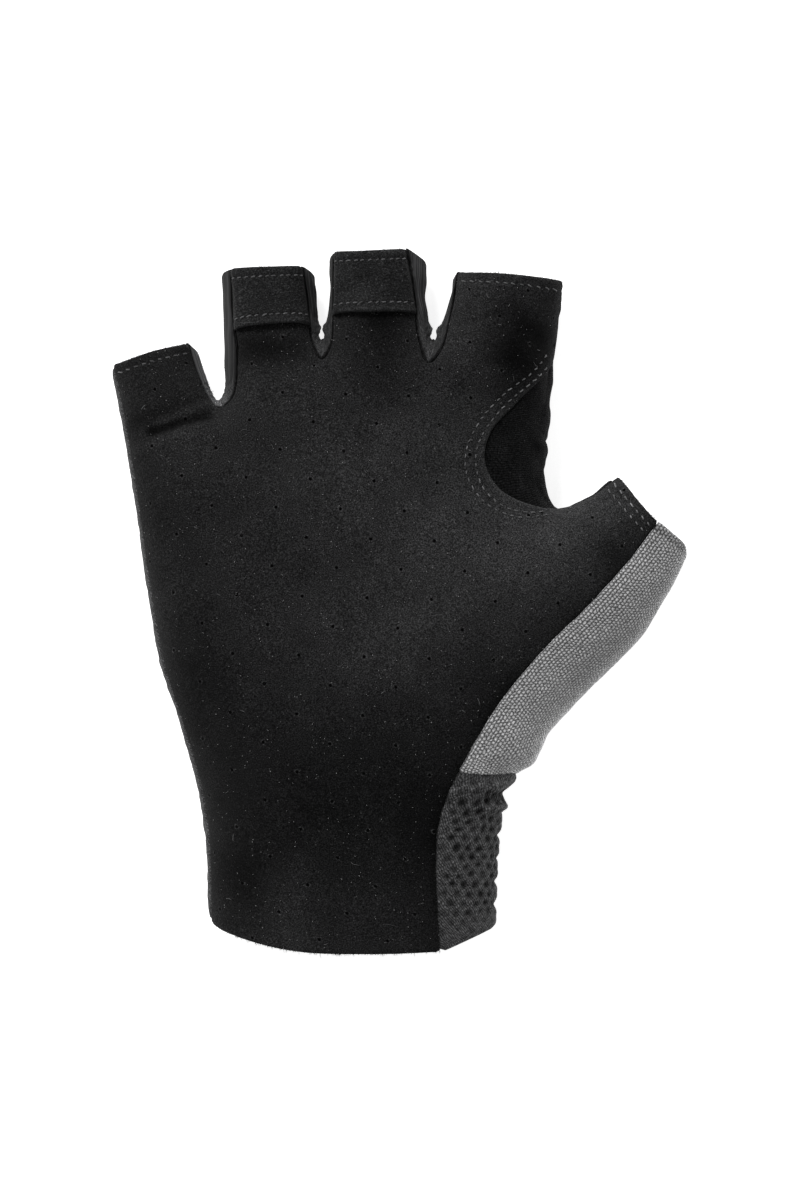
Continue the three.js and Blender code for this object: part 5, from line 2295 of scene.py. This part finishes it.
@dataclass(frozen=True)
class SewingThread:
    """Twisted thread: slanting plies."""

    name: str
    tint: Colour = (0.15, 0.15, 0.153)

    def material(self) -> bpy.types.Material:
        """Makes the material.

        Returns:
            The material.
        """
        graph = Graph(self.name)
        vector, along, across, tone = graph.cloth()
        plies = (((along * 2 + across * 2.5) * (2 * math.pi / 0.9)).cos() + 1) * 0.5
        light = tone * (0.55 + 0.7 * plies) * (0.5 + graph.noise(vector, 1.5, 2))
        constants = {**MATT, "Roughness": 0.6, "Specular IOR Level": 0.3}
        return graph.coloured(light, self.tint, plies * 0.06, constants)


# The glove


@dataclass(frozen=True)
class SheetCut:
    """What a panel was before it was sewn: its cut in metres, how it is held and what it rests on."""

    width: float
    length: float
    area: float
    held: str = "stretched"
    rests_on: tuple[str, ...] = ()


def trim(made: bpy.types.Object, finish: bpy.types.Material, slot: str) -> bpy.types.Object:
    """Gives a piece its finish, and lets it ride the glove's one body.

    Args:
        made: The piece.
        finish: The material.
        slot: Not used.

    Returns:
        The piece.
    """
    made.data.materials.append(finish)
    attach(made, "root")
    log.info("%s: %d triangles", made.name, len(made.data.polygons))
    return made


def dress(made: bpy.types.Object, node: str, slot: str, finish: bpy.types.Material, cut: SheetCut) -> None:
    """Gives a panel its finish and hides the CAD node that it stands for."""
    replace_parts(trim(made, finish, slot), node)
    list(cut.rests_on)


class Glove:
    """All panels of the glove and their stitches."""

    def __init__(self) -> None:
        """Makes the pattern and the form, and the panels on them."""
        self.pattern = Pattern()
        self.form = Form(self.pattern)
        base = (self.form, self.pattern)
        self.palm = PalmPanel(*base)
        self.back = BackPanel(*base)
        self.thumb = ThumbPanel(*base, side=Side.THUMB, name="thumb_woven_panel")
        self.crotch = CrotchPanel(*base, side=Side.INDEX_THUMB, name="crotch_jersey_panel")
        gaps = (Side.LITTLE_RING, Side.RING_MIDDLE, Side.MIDDLE_INDEX)
        self.gussets = [SewnStrip(*base, side=side, name=f"fourchette_{side.value}_strip") for side in gaps]
        self.gussets[0].pleat, self.gussets[0].painted_highlight = 0.0, 2.0
        self.tabs = [
            PullTab(self.palm, *gaps[:2], Opening.RING, "pull_tab_ring_band", (14.3, 13.6), bottom_bow=1.3),
            PullTab(self.palm, *gaps[1:], Opening.MIDDLE, "pull_tab_middle_band", (14.7, 15.2), bottom_bow=1.0),
        ]

    def build(self) -> None:
        """Builds and dresses every piece."""
        suede, mesh = Suede("perforated_suede").material(), SpacerMesh("dimpled_mesh").material()
        band_suede = Suede("band_suede", tint=(0.0150, 0.0151, 0.0154), perforated=False, dust=4.5).material()
        jersey = Stretch("ribbed_jersey", tint=(0.044, 0.044, 0.0448), rib=0.45).material()
        weave, smooth = Weave("grey_weave").material(), Stretch("smooth_jersey", rib=0.42).material()
        both = ("palm_panel", "back_panel")
        strip_cut = SheetCut(0.022, 0.042, 0.0006, rests_on=both)
        band_cut = SheetCut(0.024, 0.014, 0.00032, rests_on=both[:1])
        panels = [
            (self.palm, "palm_panel", "palm_suede", suede, SheetCut(0.135, 0.165, 0.0133)),
            (self.back, "back_panel", "back_mesh", mesh, SheetCut(0.14, 0.165, 0.0145)),
            (self.thumb, "thumb_panel", "thumb_woven", weave, SheetCut(0.06, 0.075, 0.0032, rests_on=both)),
            (self.crotch, "crotch_panel", "crotch_stretch", smooth, SheetCut(0.03, 0.065, 0.0015, rests_on=both)),
        ]
        for gusset in self.gussets:
            panels.append((gusset, f"fourchette_{gusset.side.value}", "fourchette_stretch", jersey, strip_cut))
        for tab, node in zip(self.tabs, ("pull_tab_ring", "pull_tab_middle")):
            panels.append((tab, node, "tab_suede", band_suede, band_cut))
        for panel, *place in panels:
            dress(panel.build(), *place)
        rows = [row for maker in (self.palm, *self.tabs) for row in maker.stitch_rows()]
        trim(Thread("stitches", rows).build(), SewingThread("grey_thread").material(), "thread")
        tape = Stretch("tape_jersey", tint=(0.009, 0.009, 0.0092)).material()
        trim(SeamTapes(self.form, self.pattern).build(), tape, "fourchette_stretch")
        self.add_hairs(suede, mesh)

    def add_hairs(self, suede: bpy.types.Material, mesh: bpy.types.Material) -> None:
        """Adds the fuzz of the cut edges and the lint on the palm.

        Args:
            suede: The finish of the palm.
            mesh: The finish of the back.
        """
        edges = [(self.pattern.hem(opening).line(), self.palm.surface) for opening in Opening]
        for tab in self.tabs:
            edges += [(tab.edge(0.0), tab.over), (tab.edge(1.0)[::-1], tab.over)]
        notch = self.pattern.outline[Side.LITTLE_RING].line()
        bare = [(notch[:round(0.55 * len(notch))], self.form.palm),
                (self.pattern.seam[Side.WRIST].line(), self.palm.surface)]
        grey = SewingThread("lint", tint=(0.12, 0.12, 0.122)).material()
        pale = SewingThread("dust", tint=(0.34, 0.34, 0.34)).material()
        for hairs, finish, slot in (
            (edge_hairs("seam_fuzz", bare, 0.1, 0.8), mesh, "back_mesh"),
            (edge_hairs("edge_fuzz", edges, 0.16, 0.75), suede, "palm_suede"),
            (self.palm.lint("lint_specks", 1100, (0.1, 0.3), 0.2), pale, "thread"),
            (self.palm.lint("lint_curls", 46, (0.7, 1.8), 0.8), grey, "thread"),
        ):
            trim(hairs.build(), finish, slot)


# The studio


@dataclass
class Studio:
    """A pale floor, soft light from the upper left, and a camera straight above."""

    camera_height: float = 2.0
    glove_height: float = 0.012
    metres_per_pixel: float = 0.00023
    image_height: int = 1200
    centre: tuple[float, float] = (0.0, 0.000115)
    key_at: tuple[float, float, float] = (-0.55, 1.0, 1.15)
    key_energy: float = 19.0
    sky: float = 0.4

    def build(self) -> None:
        """Makes floor, sky, key light and camera."""
        self.add_floor()
        self.add_sky()
        self.add_key()
        self.add_camera()
        bpy.context.scene.view_settings.view_transform = "Standard"

    def add_floor(self) -> None:
        """A wide plain sheet that also glows a little, so that shadows on it stay faint."""
        size, low = 3.0, -0.0003
        corners = [(x * size, y * size, low) for x, y in ((-1, -1), (1, -1), (1, 1), (-1, 1))]
        mesh = bpy.data.meshes.new("floor")
        mesh.from_pydata(corners, [], [(0, 1, 2, 3)])
        mesh.materials.append(Graph("pale_floor").shaded({
            "Base Color": (0.9, 0.9, 0.9, 1), "Roughness": 1.0, "Specular IOR Level": 0.0,
            "Emission Color": (1, 1, 1, 1), "Emission Strength": 0.8,
        }))
        placed("floor", mesh)

    def add_sky(self) -> None:
        """White light from all round."""
        world = bpy.data.worlds.new("studio")
        world.use_nodes = True
        background = world.node_tree.nodes["Background"].inputs
        background["Color"].default_value = (1, 1, 1, 1)
        background["Strength"].default_value = self.sky
        bpy.context.scene.world = world

    def add_key(self) -> None:
        """A large soft lamp at the upper left."""
        data = bpy.data.lights.new("key", "AREA")
        data.shape = "DISK"
        data.size = 0.7
        data.energy = self.key_energy
        key = placed("key", data)
        key.location = self.key_at
        key.rotation_euler = (-Vector(self.key_at)).to_track_quat("-Z", "Y").to_euler()

    def add_camera(self) -> None:
        """A camera whose frame is as high as the picture at half the glove's height."""
        data = bpy.data.cameras.new("camera")
        data.sensor_width = 36.0
        data.lens = data.sensor_width * self.camera_height / (self.image_height * self.metres_per_pixel)
        data.clip_start, data.clip_end = 0.1, 20.0
        camera = placed("camera", data)
        camera.location = (*self.centre, self.glove_height + self.camera_height)
        bpy.context.scene.camera = camera


def main() -> None:
    """Builds the glove and the studio."""
    logging.basicConfig(level=logging.INFO, format="%(name)s: %(message)s")
    Glove().build()
    Studio().build()


if __name__ == "__main__":
    main()
